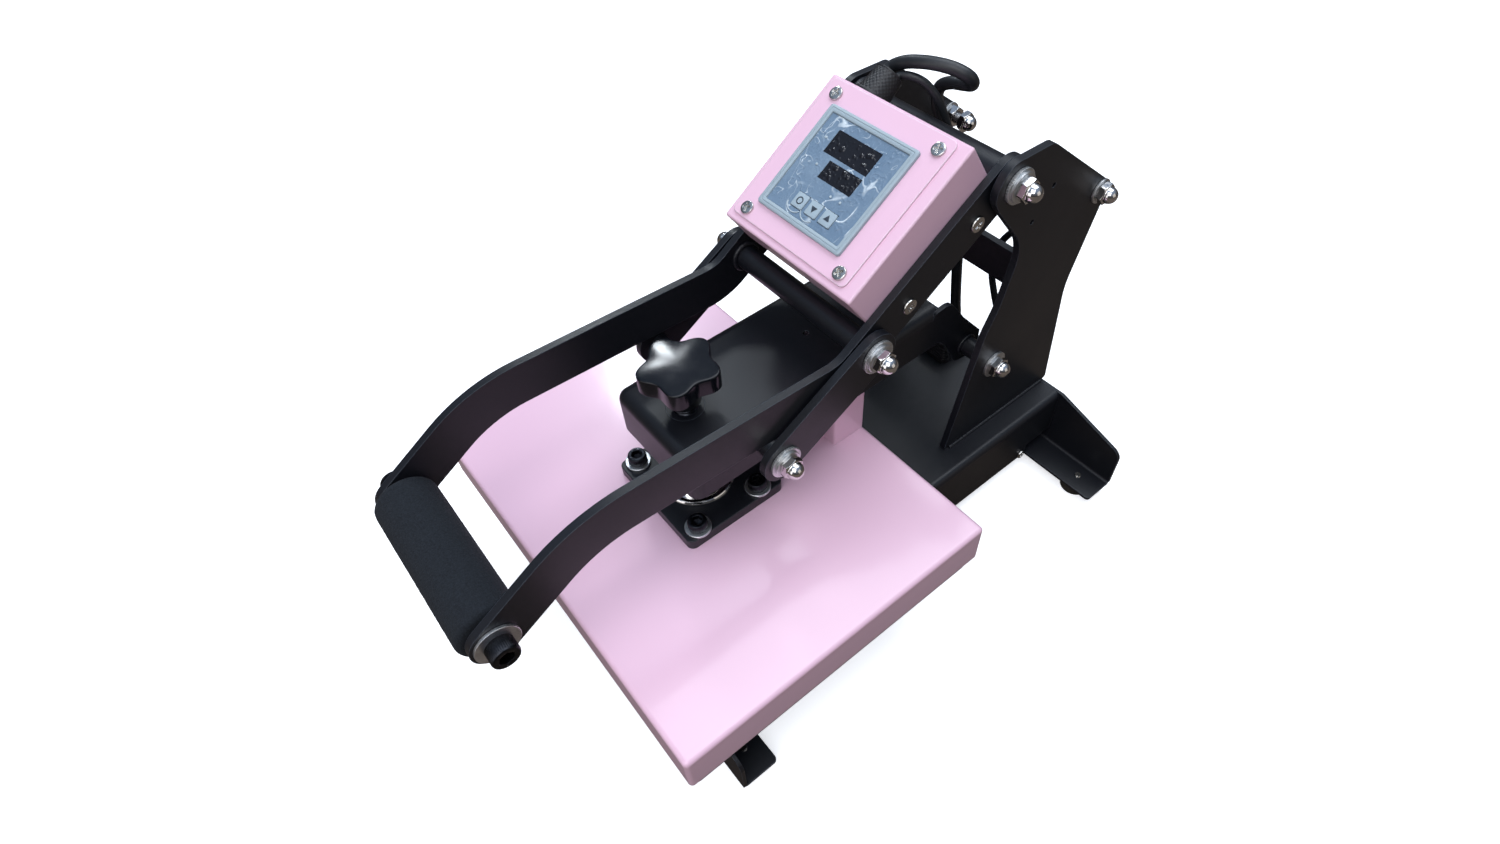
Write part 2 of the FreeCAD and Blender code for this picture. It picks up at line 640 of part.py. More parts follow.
def side_bracket(side):
    """Folded bracket that carries the box on a handle arm."""
    inner, outer = side * (ARM_IN - 2.5), side * (ARM_IN - 0.05)
    web = box(inner, outer, -44.0, 38.0, -52.0, -BOX_D)
    flange = box(side * (ARM_IN - 16.0), outer, -44.0, 38.0, -BOX_D - 2.5, -BOX_D)
    bracket = on_box(web.fuse(flange).removeSplitter())
    x0, x1 = sorted((inner, outer))
    for center in BOX_MOUNTS:
        bracket = bracket.cut(cyl_x(center, 2.0, x0 - 2, x1 + 2))
    bracket = bracket.cut(cyl_x(LINK_TOP, 9.9, x0 - 2, x1 + 2))
    return bracket.cut(cyl_x(HANDLE_PIVOT, 12.0, x0 - 20, x1 + 20))


def box_pan_screws():
    screws = [on_box(pan_screw((x, y, 0), (0, 0, -1), head_r=4.4, head_h=1.9,
                               shank_r=2.0, length=12.0))
              for x, y in FACE_SCREWS]
    screws += [pan_screw((side * ARM_OUT, y, z), (-side, 0, 0), head_r=5.2, head_h=1.8,
                         shank_r=2.0, length=10.0)
               for side in SIDES for y, z in BOX_MOUNTS]
    return screws


export("box_shell", on_box(box_shell()))
export("box_face_plate", on_box(face_plate()))
export("box_side_brackets", *[side_bracket(side) for side in SIDES])
export("box_pan_screws", *box_pan_screws())

# ---------------------------------------------------------------- controller, about the panel
BUTTONS = [                           # (name, x, y)
    ("button_set", -9.6, -21.9), ("button_down", 2.3, -21.9), ("button_up", 14.2, -21.9)]
KEY_HALF, KEY_GAP = 4.7, 0.25
BEZEL_IN, WINDOW_HALF = 31.5, 31.4


def bezel():
    frame = fillet(square(36.0, 0.0, 2.4), is_upright, 2.0)
    frame = frame.cut(square(BEZEL_IN, -1, 5))
    neck = square(35.0, -6.0, 0.0).cut(square(BEZEL_IN, -8, 5))
    return frame.fuse(neck).removeSplitter()


def cut_key_holes(shape, bottom):
    half = KEY_HALF + KEY_GAP
    for _, x, y in BUTTONS:
        shape = shape.cut(prism_z(rect(half, half, 1.0 + KEY_GAP, x, y), bottom, 5))
    return shape


def controller_body():
    body = square(33.0, -26.0, -6.1)
    body = body.fuse(square(WINDOW_HALF, -6.1, -0.5))
    return cut_key_holes(body, -4.0).removeSplitter()


def button(x, y):
    key = prism_z(rect(KEY_HALF, KEY_HALF, 1.0, x, y), -2.6, 2.0)
    return fillet(key, lambda e: e.BoundBox.ZMin > 1.9, 0.4)


export("controller_bezel", on_panel(bezel()))
export("display_window", on_panel(cut_key_holes(square(WINDOW_HALF, -0.4, 1.4), -3)))
export("controller_body", on_panel(controller_body()))
export("circuit_board", on_panel(box(-36.5, 36.5, -12.0, 46.0, -30.4, -28.8)))
for name, x, y in BUTTONS:
    export(name, on_panel(button(x, y)))


def cable_gland():
    """Flexible boot for both cables on the upper end wall."""
    length = 20.0
    boot = cyl_y(GLAND_X, GLAND_Z, 9.5, BOX_HL - 4.0, 10.0)
    boot = boot.fuse(cyl_y(GLAND_X, GLAND_Z, 12.5, BOX_HL, 3.0))
    wall_point = Vector(GLAND_X, BOX_HL, GLAND_Z)
    boot = boot.fuse(Part.makeCone(11.4, 9.6, length, wall_point, Vector(0, 1, 0)))
    tip = BOX_HL + length - 0.1
    boot = fillet(boot.removeSplitter(), lambda e: is_circle(e) and e.Vertexes[0].Y > tip, 0.7)
    return boot.cut(cyl_y(GLAND_X, GLAND_Z, 8.7, BOX_HL - 10.0, 60.0)).removeSplitter()


export("cable_gland", on_box(cable_gland()))

# ---------------------------------------------------------------- toggle links
END_WASHERS = [(10.8, 2.0), (8.9, 1.6)]


def toggle_link(side):
    """Flat bar with round ends."""
    x0, x1 = side * UP_IN, side * UP_OUT
    (y0, z0), (y1, z1) = LINK_END, LINK_TOP
    length = math.hypot(y1 - y0, z1 - z0)
    ny, nz = -(z1 - z0) / length * BAND, (y1 - y0) / length * BAND
    bar = prism_x([(y0 + ny, z0 + nz), (y0 - ny, z0 - nz),
                   (y1 - ny, z1 - nz), (y1 + ny, z1 + nz)], x0, x1)
    bar = bar.fuse([cyl_x(LINK_END, BAND, x0, x1), cyl_x(LINK_TOP, BAND, x0, x1)])
    return drill_x(bar.removeSplitter(), x0, x1, [(LINK_TOP, LINK_PIN_R + RUN)])


def link_end_nut(side):
    """Domed nut made in one with its stud."""
    stud = cyl_x(LINK_END, BOLT_R, side * UP_OUT, side * (UP_OUT + 9.0))
    nut = acorn(LINK_END, 13.0, side * (UP_OUT + stack_height(END_WASHERS)), side,
                bore=BOLT_R, thick=5.0, dome=6.2, turn=18.0)
    return nut.fuse(stud).removeSplitter()


def link_end_washers():
    result = []
    for side in SIDES:
        result += washers(LINK_END, BOLT_BORE, side * UP_OUT, side, END_WASHERS)
    return result


export("link_right", toggle_link(1))
export("link_left", toggle_link(-1))
export("link_end_nuts", *[link_end_nut(side) for side in SIDES])
export("link_end_washers", *link_end_washers())

# ---------------------------------------------------------------- press arm
YOKE = [                              # (Y, Z, corner radius), side cheek down to the arm pivot
    (60.0, CH_BOT, 0), (60.0, 181.0, 0), (CH_Y1 - 6.0, 181.0, 0), (CH_Y1 - 4.0, 187.0, 3.0),
    (189.5, 188.0, 10.0), (206.0, 165.0, 30.0),
    (ARM_PIVOT[0] + 14.0, 140.0, 3), (ARM_PIVOT[0] + 13.5, 128.0, 8),
    (ARM_PIVOT[0] + 4.0, 120.5, 8), (ARM_PIVOT[0] - 10.0, 122.0, 10),
    (ARM_PIVOT[0] - 15.5, 134.0, 8),
    (184.0, 158.0, 22.0), (150.0, 160.5, 20.0), (120.0, CH_BOT, 30.0)]
BOSS_R = 12.0


def bent_block(half, front, back, bottom, top, radius):
    """Block rounded at its front corners and at the front and side edges of its top."""
    def is_bend(edge):
        middle = edge.CenterOfMass
        at_top = abs(middle.z - top) < 1e-6
        at_front = abs(middle.y - front) < 1e-6
        if along(edge, (0, 1, 0)) and at_top and abs(abs(middle.x) - half) < 1e-6:
            return True
        if along(edge, (1, 0, 0)) and at_top and at_front:
            return True
        return is_upright(edge) and at_front
    return fillet(box(-half, half, front, back, bottom, top), is_bend, radius)


def press_arm():
    """Channel open below and behind, with two cheeks reaching down to the pivot."""
    outer = bent_block(CH_HW, CH_Y0, CH_Y1, CH_BOT, CH_TOP, CH_BEND_R)
    inner = bent_block(CH_HW - CH_T, CH_Y0 + CH_T, CH_Y1 + 20, CH_BOT - 5, CH_TOP - CH_T,
                       CH_BEND_R - CH_T)
    arm = outer.cut(inner)
    for side in SIDES:
        arm = arm.fuse(prism_x(YOKE, side * (CH_HW - CH_T), side * CH_HW))
    arm = arm.removeSplitter()
    arm = arm.cut(cyl_x(ARM_PIVOT, ARM_TUBE_R, -60, 60))
    arm = arm.cut(cyl_z(0, 97.0, 2.2, 150, 200))
    return arm.cut(cyl_z(0, 0, BOSS_R, CH_TOP - 10, CH_TOP + 5))


def arm_tubes():
    """Pivot tube through the arm, and the two stubs that meet the toggle links."""
    end = 62.7
    stubs = [cyl_x(LINK_END, ARM_TUBE_R, side * CH_HW, side * end) for side in SIDES]
    return [tube_x(ARM_PIVOT, ARM_TUBE_R, ARM_ROD_R + RUN, -end, end)] + stubs


def threaded_boss():
    boss = cyl_z(0, 0, BOSS_R, 150.0, CH_TOP)
    return boss.cut(cyl_z(0, 0, SCREW_R + RUN, 140, 200))


export("press_arm_channel", press_arm())
export("threaded_boss", threaded_boss())
export("arm_tubes", *arm_tubes())

# ---------------------------------------------------------------- platen
HX, HY = PLATEN_W / 2, PLATEN_L / 2
HEAT_BOT = PAD_TOP + 0.05
HEAT_TOP = HEAT_BOT + HEAT_T
COVER_IN = COVER_TOP - COVER_T        # underside of the cover's top
MOUNT_BORE = 4.1
SCREW_DEPTH = 9.0                     # of the mount screws in the heat plate
MOUNT_WASHER_T = 1.8
EXIT_Y, EXIT_R = 104.0, 9.0           # wiring exit under the terminal cover


def platen_cover():
    outer = round_hood(box(-HX, HX, -HY, HY, COVER_BOT, COVER_TOP), COVER_TOP, 3.0)
    hx, hy = HX - COVER_T, HY - COVER_T
    inner = round_hood(box(-hx, hx, -hy, hy, COVER_BOT - 5, COVER_IN), COVER_IN, 3.0 - COVER_T)
    cover = outer.cut(inner)
    cover = drill_z(cover, MOUNT_SCREWS, MOUNT_BORE, COVER_TOP - 5, COVER_TOP + 5)
    return cover.cut(cyl_z(0, EXIT_Y, EXIT_R, COVER_TOP - 5, COVER_TOP + 5))


def heat_plate():
    gap = COVER_T + 0.4
    plate = prism_z(rect(HX - gap, HY - gap, 2.0), HEAT_BOT, HEAT_TOP)
    return drill_z(plate, MOUNT_SCREWS, 4.0 + FIT, HEAT_TOP - SCREW_DEPTH, HEAT_TOP + 5)


def mount_plate():
    plate = prism_z(rect(MOUNT_HX, MOUNT_HY + 2.5, 5.0, 0, 2.5), COVER_TOP, MOUNT_TOP)
    plate = fillet(plate, lambda e: starts_at(e, MOUNT_TOP), 0.6)
    return drill_z(plate, MOUNT_SCREWS, MOUNT_BORE, MOUNT_TOP - 20, MOUNT_TOP + 5)


def mount_screw(x, y):
    """Socket head screw through mount and cover into the heat plate."""
    seat = MOUNT_TOP + MOUNT_WASHER_T
    top = MOUNT_TOP + 8.4
    head = cyl_z(x, y, 6.5, seat, top)
    head = fillet(head, lambda e: is_circle(e) and e.Vertexes[0].Z > top - 0.1, 0.8)
    socket = prism_z(hex_points((x, y), 6.4, 12), MOUNT_TOP + 4.4, MOUNT_TOP + 20)
    shank = cyl_z(x, y, 4.0, HEAT_TOP - SCREW_DEPTH, seat)
    return head.fuse(shank).cut(socket).removeSplitter()


def mount_washer(x, y):
    washer = cyl_z(x, y, 8.8, MOUNT_TOP, MOUNT_TOP + MOUNT_WASHER_T)
    return washer.cut(cyl_z(x, y, MOUNT_BORE, MOUNT_TOP - 1, MOUNT_TOP + 5))


def insulation_blanket():
    hx, hy = HX - COVER_T - 2.0, HY - COVER_T - 2.0
    blanket = box(-hx, hx, -hy, hy, HEAT_TOP + 7.0, COVER_IN)
    blanket = drill_z(blanket, MOUNT_SCREWS, 4.5, 0, 200)
    return blanket.cut(cyl_z(0, EXIT_Y, EXIT_R, 0, 200))


def heating_element():
    """Round tube in a flat serpentine on the heat plate, relieved around the mount screws."""
    radius, z = 3.4, HEAT_TOP + 3.45
    rows = [-90.0, -54.0, -18.0, 18.0, 54.0, 90.0]
    end = 120.0                       # X where the straight runs stop
    path = []
    side = 1
    for i, y in enumerate(rows):
        path.append(Part.makeLine(Vector(-side * end, y, z), Vector(side * end, y, z)))
        if i < len(rows) - 1:
            after = rows[i + 1]
            bulge = Vector(side * (end + (after - y) / 2), (y + after) / 2, z)
            path.append(Part.Arc(Vector(side * end, y, z), bulge,
                                 Vector(side * end, after, z)).toShape())
        side = -side
    section = Part.makeCircle(radius, Vector(-end, rows[0], z), Vector(1, 0, 0))
    element = Part.Wire(path).makePipeShell([Part.Wire([section])], True, True)
    reliefs = [cyl_z(x, y, 4.6, HEAT_TOP - 1, HEAT_TOP + 9) for x, y in MOUNT_SCREWS]
    return element.cut(Part.makeCompound(reliefs))


export("platen_cover", platen_cover())
export("heat_plate", heat_plate())
export("mount_plate", mount_plate())
export("mount_screws", *[mount_screw(x, y) for x, y in MOUNT_SCREWS])
export("mount_washers", *[mount_washer(x, y) for x, y in MOUNT_SCREWS])
export("insulation_blanket", insulation_blanket())
export("heating_element", heating_element())

ENTRY_X, ENTRY_Z = 18.0, 130.0        # cable entry in the terminal cover's back wall


def terminal_cover():
    """Wiring cover at the back of the platen, between the press arm channel's walls."""
    half, front, back, top, wall = 37.4, 90.6, 117.8, 166.0, 1.5
    hood = round_hood(box(-half, half, front, back, COVER_TOP, top), top, 1.8)
    hood = hood.cut(box(-half + wall, half - wall, front + wall, back - wall,
                        COVER_TOP - 1, top - wall))
    tab = prism_z(rect(26.0, 5.5, 2.0, 0, front - 5.3), COVER_TOP, COVER_TOP + 1.5)
    hood = hood.fuse(tab).removeSplitter()
    return hood.cut(cyl_y(ENTRY_X, ENTRY_Z, 3.3, back - 3, 6))


def swivel_collar():
    """Collar that carries the platen on the pressure screw's flange."""
    up = Vector(0, 0, 1)
    z = MOUNT_TOP
    collar = Part.makeCone(26.0, 25.0, 2.5, Vector(0, 0, z), up)
    collar = collar.fuse(cyl_z(0, 0, 19.0, z + 2.5, z + 12.0))
    collar = collar.fuse(Part.makeCone(19.0, 16.0, 3.0, Vector(0, 0, z + 12.0), up))
    collar = collar.cut(cyl_z(0, 0, 12.1, z + 3.0, z + 9.1))
    return collar.cut(cyl_z(0, 0, SCREW_R + 0.08, z + 5.0, z + 30)).removeSplitter()


export("terminal_cover", terminal_cover())
export("swivel_collar", swivel_collar())

# ---------------------------------------------------------------- knob and pressure screw
SCREW_TOP = 205.0


def pressure_screw():
    stem = cyl_z(0, 0, SCREW_R, MOUNT_TOP + 4.0, SCREW_TOP)
    flange = cyl_z(0, 0, 12.0, MOUNT_TOP + 3.1, MOUNT_TOP + 9.0)
    return stem.fuse(flange).removeSplitter()


def star_knob():
    bottom, top, stem_bottom = 213.4, 227.0, 195.5
    lobes, mean_r, lobe_h, turn = 5, 22.6, 3.0, math.radians(38)
    steps = 60
    points = []
    for k in range(steps):
        angle = 2 * math.pi * k / steps
        radius = mean_r + lobe_h * math.cos(lobes * (angle + turn))
        points.append(Vector(radius * math.cos(angle), radius * math.sin(angle), bottom))
    curve = Part.BSplineCurve()
    curve.interpolate(points, True)
    knob = Part.Face(Part.Wire([curve.toShape()])).extrude(Vector(0, 0, top - bottom))

    def on_top(edge):
        bounds = edge.BoundBox
        return abs(bounds.ZMin - top) < 1e-3 and abs(bounds.ZMax - top) < 1e-3

    # the fillet on the lobed spline edge may fail; the knob then keeps a sharp top edge
    try:
        knob = fillet(knob, on_top, 1.6)
    except Exception:
        pass
    # the stem runs 1 mm up into the knob
    stem = Part.makeCone(10.6, 11.6, bottom - stem_bottom + 1.0,
                         Vector(0, 0, stem_bottom), Vector(0, 0, 1))
    knob = knob.fuse(stem).removeSplitter()
    return knob.cut(cyl_z(0, 0, SCREW_R, 190.0, SCREW_TOP))


export("pressure_screw", pressure_screw())
export("star_knob", star_knob())


# ---------------------------------------------------------------- cables
def sweep(points, radius):
    """Round cable along the points: straight lengths joined by tangent arcs."""
    stations = [Vector(p) for p in points]
    steps = [b.sub(a) for a, b in zip(stations, stations[1:])]
    lengths = [step.Length for step in steps]
    dirs = [step * (1.0 / length) for step, length in zip(steps, lengths)]
    edge = Part.makeCircle(radius, stations[0], dirs[0])
    faces = [Part.Face(Part.Wire([edge]))]
    used = 0.0                        # length of this straight taken by the arc before it
    for i, (ahead, length) in enumerate(zip(dirs, lengths)):
        bend = 0.0                    # length taken by the arc after it
        if i + 1 < len(dirs):
            turn = math.acos(max(-1.0, min(1.0, ahead.dot(dirs[i + 1]))))
            if turn > 1e-4:
                half_tan = math.tan(turn / 2)
                bend = min(0.49 * min(length, lengths[i + 1]), 60.0 * half_tan)
                bend_r = bend / half_tan
                # a tighter bend would make the cable run into itself
                assert bend_r > 1.12 * radius, (i, bend_r)
        run = length - used - bend
        if run > 1e-6:
            faces.append(edge.extrude(ahead * run))
            edge = edge.copy()
            edge.translate(ahead * run)
        if bend:
            start = stations[i + 1] - ahead * bend
            axis = ahead.cross(dirs[i + 1])
            axis.normalize()
            center = start + axis.cross(ahead) * bend_r
            faces.append(edge.revolve(center, axis, math.degrees(turn)))
            edge = edge.copy()
            edge.rotate(center, axis, math.degrees(turn))
        used = bend
    faces.append(Part.Face(Part.Wire([edge])))
    shell = Part.makeShell(faces)
    shell.sewShape(1e-4)
    solid = Part.makeSolid(shell.Shells[0])
    if solid.Volume < 0:
        solid.reverse()
    return solid


def boot_run(dx):
    """Stations through the boot, dx to the side of its axis."""
    return [BOX_PLACE.multVec(Vector(GLAND_X + dx, BOX_HL + d, GLAND_Z))
            for d in (-2.0, 5.0, 11.0, 17.0)]


# (X, Y, Z) stations, from the control box down to the base
POWER_CORD = boot_run(-3.5) + [
    (-36.8, 197.0, 320.0), (-29.0, 200.0, 325.0), (-18.0, 202.5, 328.3), (-7.0, 206.2, 329.4),
    (2.5, 210.5, 328.2), (9.0, 215.0, 324.4), (8.0, 220.0, 318.0), (0.0, 222.5, 314.0),
    (-10.0, 223.0, 311.0), (-19.0, 224.0, 305.0), (-24.0, 227.5, 294.0), (-24.0, 233.0, 280.0),
    (-21.5, 240.5, 262.0), (-17.5, 247.5, 243.0), (-13.5, 252.3, 220.0), (-10.8, 255.3, 190.0),
    (-9.3, 256.3, 156.0), (-6.3, 258.0, 120.0), (CORD_X, CORD_Y, 102.0), (CORD_X, CORD_Y, 94.0),
    (CORD_X, CORD_Y, 84.0), (CORD_X, CORD_Y, BASE_TOP + 6.0)]
# (X, Y, Z) stations, from the control box to the terminal cover
HEATER_CABLE = boot_run(5.1) + [
    (-28.1, 196.0, 318.5), (-21.8, 199.0, 319.5), (-14.5, 203.2, 316.8), (-9.0, 207.3, 310.0),
    (-6.0, 211.4, 301.2), (-4.0, 214.8, 292.1), (-1.0, 218.6, 281.4), (11.0, 232.0, 263.0),
    (30.0, 247.5, 243.0), (42.0, 257.5, 224.0), (38.5, 261.8, 211.5), (30.0, 262.5, 203.5),
    (21.5, 262.5, 189.0), (18.0, 262.5, 172.0), (19.3, 262.0, 158.0), (24.3, 261.5, 145.0),
    (32.0, 260.0, 130.0), (38.5, 255.0, 117.0), (39.5, 246.5, 110.0), (36.5, 237.0, 112.0),
    (34.5, 230.0, 120.0), (34.0, 226.5, 130.0), (33.0, 222.5, 139.5), (31.0, 215.5, 146.5),
    (27.0, 205.0, 149.5), (23.0, 189.0, 147.0), (20.0, 171.0, 141.5), (18.5, 152.0, 134.5),
    (18.0, 137.0, 130.5), (ENTRY_X, 127.0, ENTRY_Z), (ENTRY_X, 120.0, ENTRY_Z),
    (ENTRY_X, 112.0, ENTRY_Z)]

export("power_cord", sweep(POWER_CORD, 4.0))
export("heater_cable", sweep(HEATER_CABLE, 2.5))
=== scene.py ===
# Clamshell heat press, standing on the floor with its handle grip towards -Y (the front).
# X runs across it and Z is up. Two side posts at the rear carry a handle and a press arm,
# joined by links; the arm carries the heated platen, and the handle carries a tilted
# control box.
import bpy
import bmesh
import json
import math
import random
from mathutils import Matrix, Vector, noise


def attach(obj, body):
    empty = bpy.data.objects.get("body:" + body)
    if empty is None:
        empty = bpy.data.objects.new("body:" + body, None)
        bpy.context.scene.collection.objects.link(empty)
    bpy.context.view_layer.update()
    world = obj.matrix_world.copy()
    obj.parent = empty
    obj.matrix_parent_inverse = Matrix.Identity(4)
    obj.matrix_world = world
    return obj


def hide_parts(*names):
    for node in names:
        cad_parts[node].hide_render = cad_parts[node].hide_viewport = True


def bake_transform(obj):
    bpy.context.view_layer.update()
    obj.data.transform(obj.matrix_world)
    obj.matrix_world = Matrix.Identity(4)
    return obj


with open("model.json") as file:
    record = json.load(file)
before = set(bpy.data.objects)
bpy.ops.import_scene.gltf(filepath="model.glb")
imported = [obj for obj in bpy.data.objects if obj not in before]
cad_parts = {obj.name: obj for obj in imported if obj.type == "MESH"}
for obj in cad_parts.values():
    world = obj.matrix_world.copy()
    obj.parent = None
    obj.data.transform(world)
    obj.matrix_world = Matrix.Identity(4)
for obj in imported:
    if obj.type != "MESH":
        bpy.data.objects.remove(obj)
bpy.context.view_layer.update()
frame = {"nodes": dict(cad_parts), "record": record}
scene = bpy.context.scene
TAU = 2 * math.pi
MM = 0.001
PLATEN_OFFSET = Vector((0.0, -58.0, 0.0))  # Y is counted from the platen's middle
SIDES = (1, -1)                            # right (+X) and left, seen from the front

# Pivots and the grip's axis, as (Y, Z)
ARM_PIVOT = (213.4, 134.3)
HANDLE_PIVOT = (197.6, 289.1)
LINK_TOP = (93.0, 222.2)      # handle to link
LINK_END = (22.4, 182.5)      # link to press arm
CORNER = (289.1, 242.8)       # rear corner bolts
GRIP = (-163.0, 182.0)
# Side faces, as distance from the middle plane
POST_IN, POST_OUT = 63.0, 68.0
ARM_IN, ARM_OUT = 56.5, 61.5
LINK_OUT = 68.1
MOUNT_TOP = 120.0             # height of the face under the mount screws and the collar
FEET = [(side * 130.0, y) for side in SIDES for y in (-70.3, 273.0)]
# Control box: its face's middle as (Y, Z), its tilt, and half its length up the slope
BOX_CENTER, BOX_TILT, BOX_HALF_LENGTH = (123.6, 291.85), math.radians(33.28), 53.1
PANEL_X, PANEL_UP = -3.5, 0.4  # middle of the control panel on the box face


# ------------------------------------------------------------------ shader nodes
class Shader:
    """A material's or world's node tree, with short calls for its nodes."""

    def __init__(self, owner):
        owner.use_nodes = True
        self.owner = owner
        self.tree = owner.node_tree
        self.main = self.find("BSDF_PRINCIPLED", "BACKGROUND")
        self.coord_node = None

    def find(self, *kinds):
        return next(n for n in self.tree.nodes if n.type in kinds)

    def node(self, kind, **attributes):
        node = self.tree.nodes.new(kind)
        for key, value in attributes.items():
            setattr(node, key, value)
        return node

    def feed(self, entry, value):
        """Link a socket to an input, or set a number or an RGB colour on it."""
        if isinstance(value, bpy.types.NodeSocket):
            self.tree.links.new(value, entry)
        else:
            entry.default_value = (*value, 1) if isinstance(value, tuple) else value

    def fill(self, node, **inputs):
        for key, value in inputs.items():
            self.feed(node.inputs[key.replace("_", " ")], value)

    def set(self, **inputs):
        self.fill(self.main, **inputs)

    def coord(self, kind="Object"):
        if self.coord_node is None:
            self.coord_node = self.node("ShaderNodeTexCoord")
        return self.coord_node.outputs[kind]

    def noise(self, scale, detail=3.0, rough=0.6, distortion=0.0, vector=None):
        node = self.node("ShaderNodeTexNoise")
        self.fill(node, Scale=scale, Detail=detail, Roughness=rough, Distortion=distortion,
                  Vector=self.coord() if vector is None else vector)
        return node.outputs["Fac"]

    def voronoi(self, scale):
        node = self.node("ShaderNodeTexVoronoi")
        self.fill(node, Scale=scale, Vector=self.coord())
        return node.outputs["Distance"]

    def ramp(self, value, *stops):
        """Stops are (position, grey or RGB)."""
        node = self.node("ShaderNodeValToRGB")
        elements = node.color_ramp.elements
        while len(elements) > 1:
            elements.remove(elements[-1])
        elements[0].position = stops[0][0]
        for i, (position, color) in enumerate(stops):
            stop = elements.new(position) if i else elements[0]
            stop.color = (*color, 1) if isinstance(color, tuple) else (color, color, color, 1)
        self.fill(node, Fac=value)
        return node.outputs["Color"]

    def remap(self, value, to, source=(0.3, 0.7)):
        """Clamped linear map; noise mostly lies in the default source range."""
        node = self.node("ShaderNodeMapRange")
        for i, number in enumerate((*source, *to), 1):
            node.inputs[i].default_value = number
        self.feed(node.inputs[0], value)
        return node.outputs[0]

    def math(self, operation, first, second):
        node = self.node("ShaderNodeMath", operation=operation)
        self.feed(node.inputs[0], first)
        self.feed(node.inputs[1], second)
        return node.outputs[0]

    def add(self, first, second):
        return self.math("ADD", first, second)

    def times(self, first, second):
        return self.math("MULTIPLY", first, second)

    def mix(self, amount, first, second):
        node = self.node("ShaderNodeMix", data_type="RGBA")
        for key, value in ((0, amount), (6, first), (7, second)):
            self.feed(node.inputs[key], value)
        return node.outputs[2]

    def bump(self, height, strength, distance, normal=None):
        node = self.node("ShaderNodeBump")
        self.fill(node, Strength=strength, Distance=distance, Height=height)
        if normal is not None:
            self.fill(node, Normal=normal)
        return node.outputs["Normal"]

    def bevel(self, radius):
        node = self.node("ShaderNodeBevel", samples=4)
        self.fill(node, Radius=radius)
        return node.outputs["Normal"]

    def edge(self, radius, start, full):
        """0 on flat faces, 1 near sharp edges; start and full are cosines of the bend."""
        bevel = self.bevel(radius)
        geometry = self.node("ShaderNodeNewGeometry")
        dot = self.node("ShaderNodeVectorMath", operation="DOT_PRODUCT")
        self.feed(dot.inputs[0], bevel)
        self.feed(dot.inputs[1], geometry.outputs["Normal"])
        return self.remap(dot.outputs["Value"], source=(start, full), to=(0.0, 1.0))

    def stretch(self, scale):
        node = self.node("ShaderNodeMapping")
        node.inputs["Scale"].default_value = scale
        self.fill(node, Vector=self.coord())
        return node.outputs["Vector"]


def new_shader(name):
    return Shader(bpy.data.materials.new(name))


def shade(color, factor):
    return tuple(c * factor for c in color)


# ------------------------------------------------------------------ materials
def frame_black():
    """Powder coat: fine orange peel with small pale grains, and a painted bluish highlight on
    its edges.
    """
    m = new_shader("frame_black")
    fine = m.noise(scale=2400)
    peel = m.noise(scale=560, detail=2, rough=0.5)
    blotch = m.noise(scale=18, rough=0.5)
    paint = m.mix(m.ramp(fine, (0.35, 0), (0.75, 1)),
                  (0.0036, 0.0042, 0.0066), (0.0085, 0.0100, 0.0145))
    grain = m.ramp(m.voronoi(scale=520), (0, 1), (0.06, 0))
    paint = m.mix(m.times(grain, 0.35), paint, (0.10, 0.10, 0.11))
    # Painted highlight: the edges are lightened bluish to stand in for the sheen they catch.
    painted_edge_highlight = m.edge(radius=0.0006, start=0.995, full=0.80)
    paint = m.mix(m.times(painted_edge_highlight, 0.55), paint, (0.115, 0.145, 0.185))
    rough = m.add(m.remap(blotch, to=(0.36, 0.43)), m.remap(fine, to=(-0.04, 0.05)))
    height = m.add(m.times(fine, 0.5), m.times(peel, 0.7))
    m.set(Base_Color=paint, Roughness=rough, IOR=1.5, Specular_IOR_Level=0.42,
          Normal=m.bump(height, strength=0.16, distance=0.00022,
                        normal=m.bevel(radius=0.0006)))
    return m.owner


def pink_paint():
    """Gloss enamel with slight orange peel under a clear top coat, and a painted near-white
    highlight on its edges.
    """
    m = new_shader("pink_paint")
    cloud = m.ramp(m.noise(scale=7, detail=2, rough=0.5), (0.3, 0), (0.7, 1))
    paint = m.mix(cloud, (0.795, 0.524, 0.655), (0.778, 0.507, 0.638))
    dust = m.ramp(m.voronoi(scale=130), (0, 1), (0.018, 0))
    paint = m.mix(m.times(dust, 0.30), paint, (0.30, 0.20, 0.27))
    # Painted highlight: near-white colour along the edges stands in for the light caught on the
    # rolled folds.
    edge = m.edge(radius=0.0011, start=0.99, full=0.88)
    paint = m.mix(m.times(edge, 0.70), paint, (1.0, 0.93, 0.98))
    rough = m.remap(m.noise(scale=30, detail=2, rough=0.5), to=(0.30, 0.35))
    bevel = m.bevel(radius=0.0012)
    height = m.add(m.noise(scale=190, detail=2, rough=0.5),
                   m.times(m.noise(scale=60, detail=1, rough=0.5), 1.5))
    peel = m.bump(height, strength=0.05, distance=0.0006, normal=bevel)
    m.set(Base_Color=paint, Roughness=rough, Coat_Weight=0.6, Coat_Roughness=0.12, IOR=1.48,
          Normal=peel, Coat_Normal=peel)
    return m.owner


def metal(name, color, rough, scale, bump, stain=None):
    m = new_shader(name)
    tone = m.mix(m.ramp(m.noise(scale=140, detail=4), (0.35, 0), (0.7, 1)),
                 color, shade(color, 0.72))
    if stain is not None:
        spots = m.ramp(m.noise(scale=45), (0.55, 0), (0.75, 1))
        tone = m.mix(m.times(spots, 0.5), tone, stain)
    m.set(Base_Color=tone, Metallic=1.0,
          Roughness=m.remap(m.noise(scale=320), to=rough),
          Normal=m.bump(m.noise(scale=scale), strength=bump, distance=0.0002,
                        normal=m.bevel(radius=0.0003)))
    return m.owner


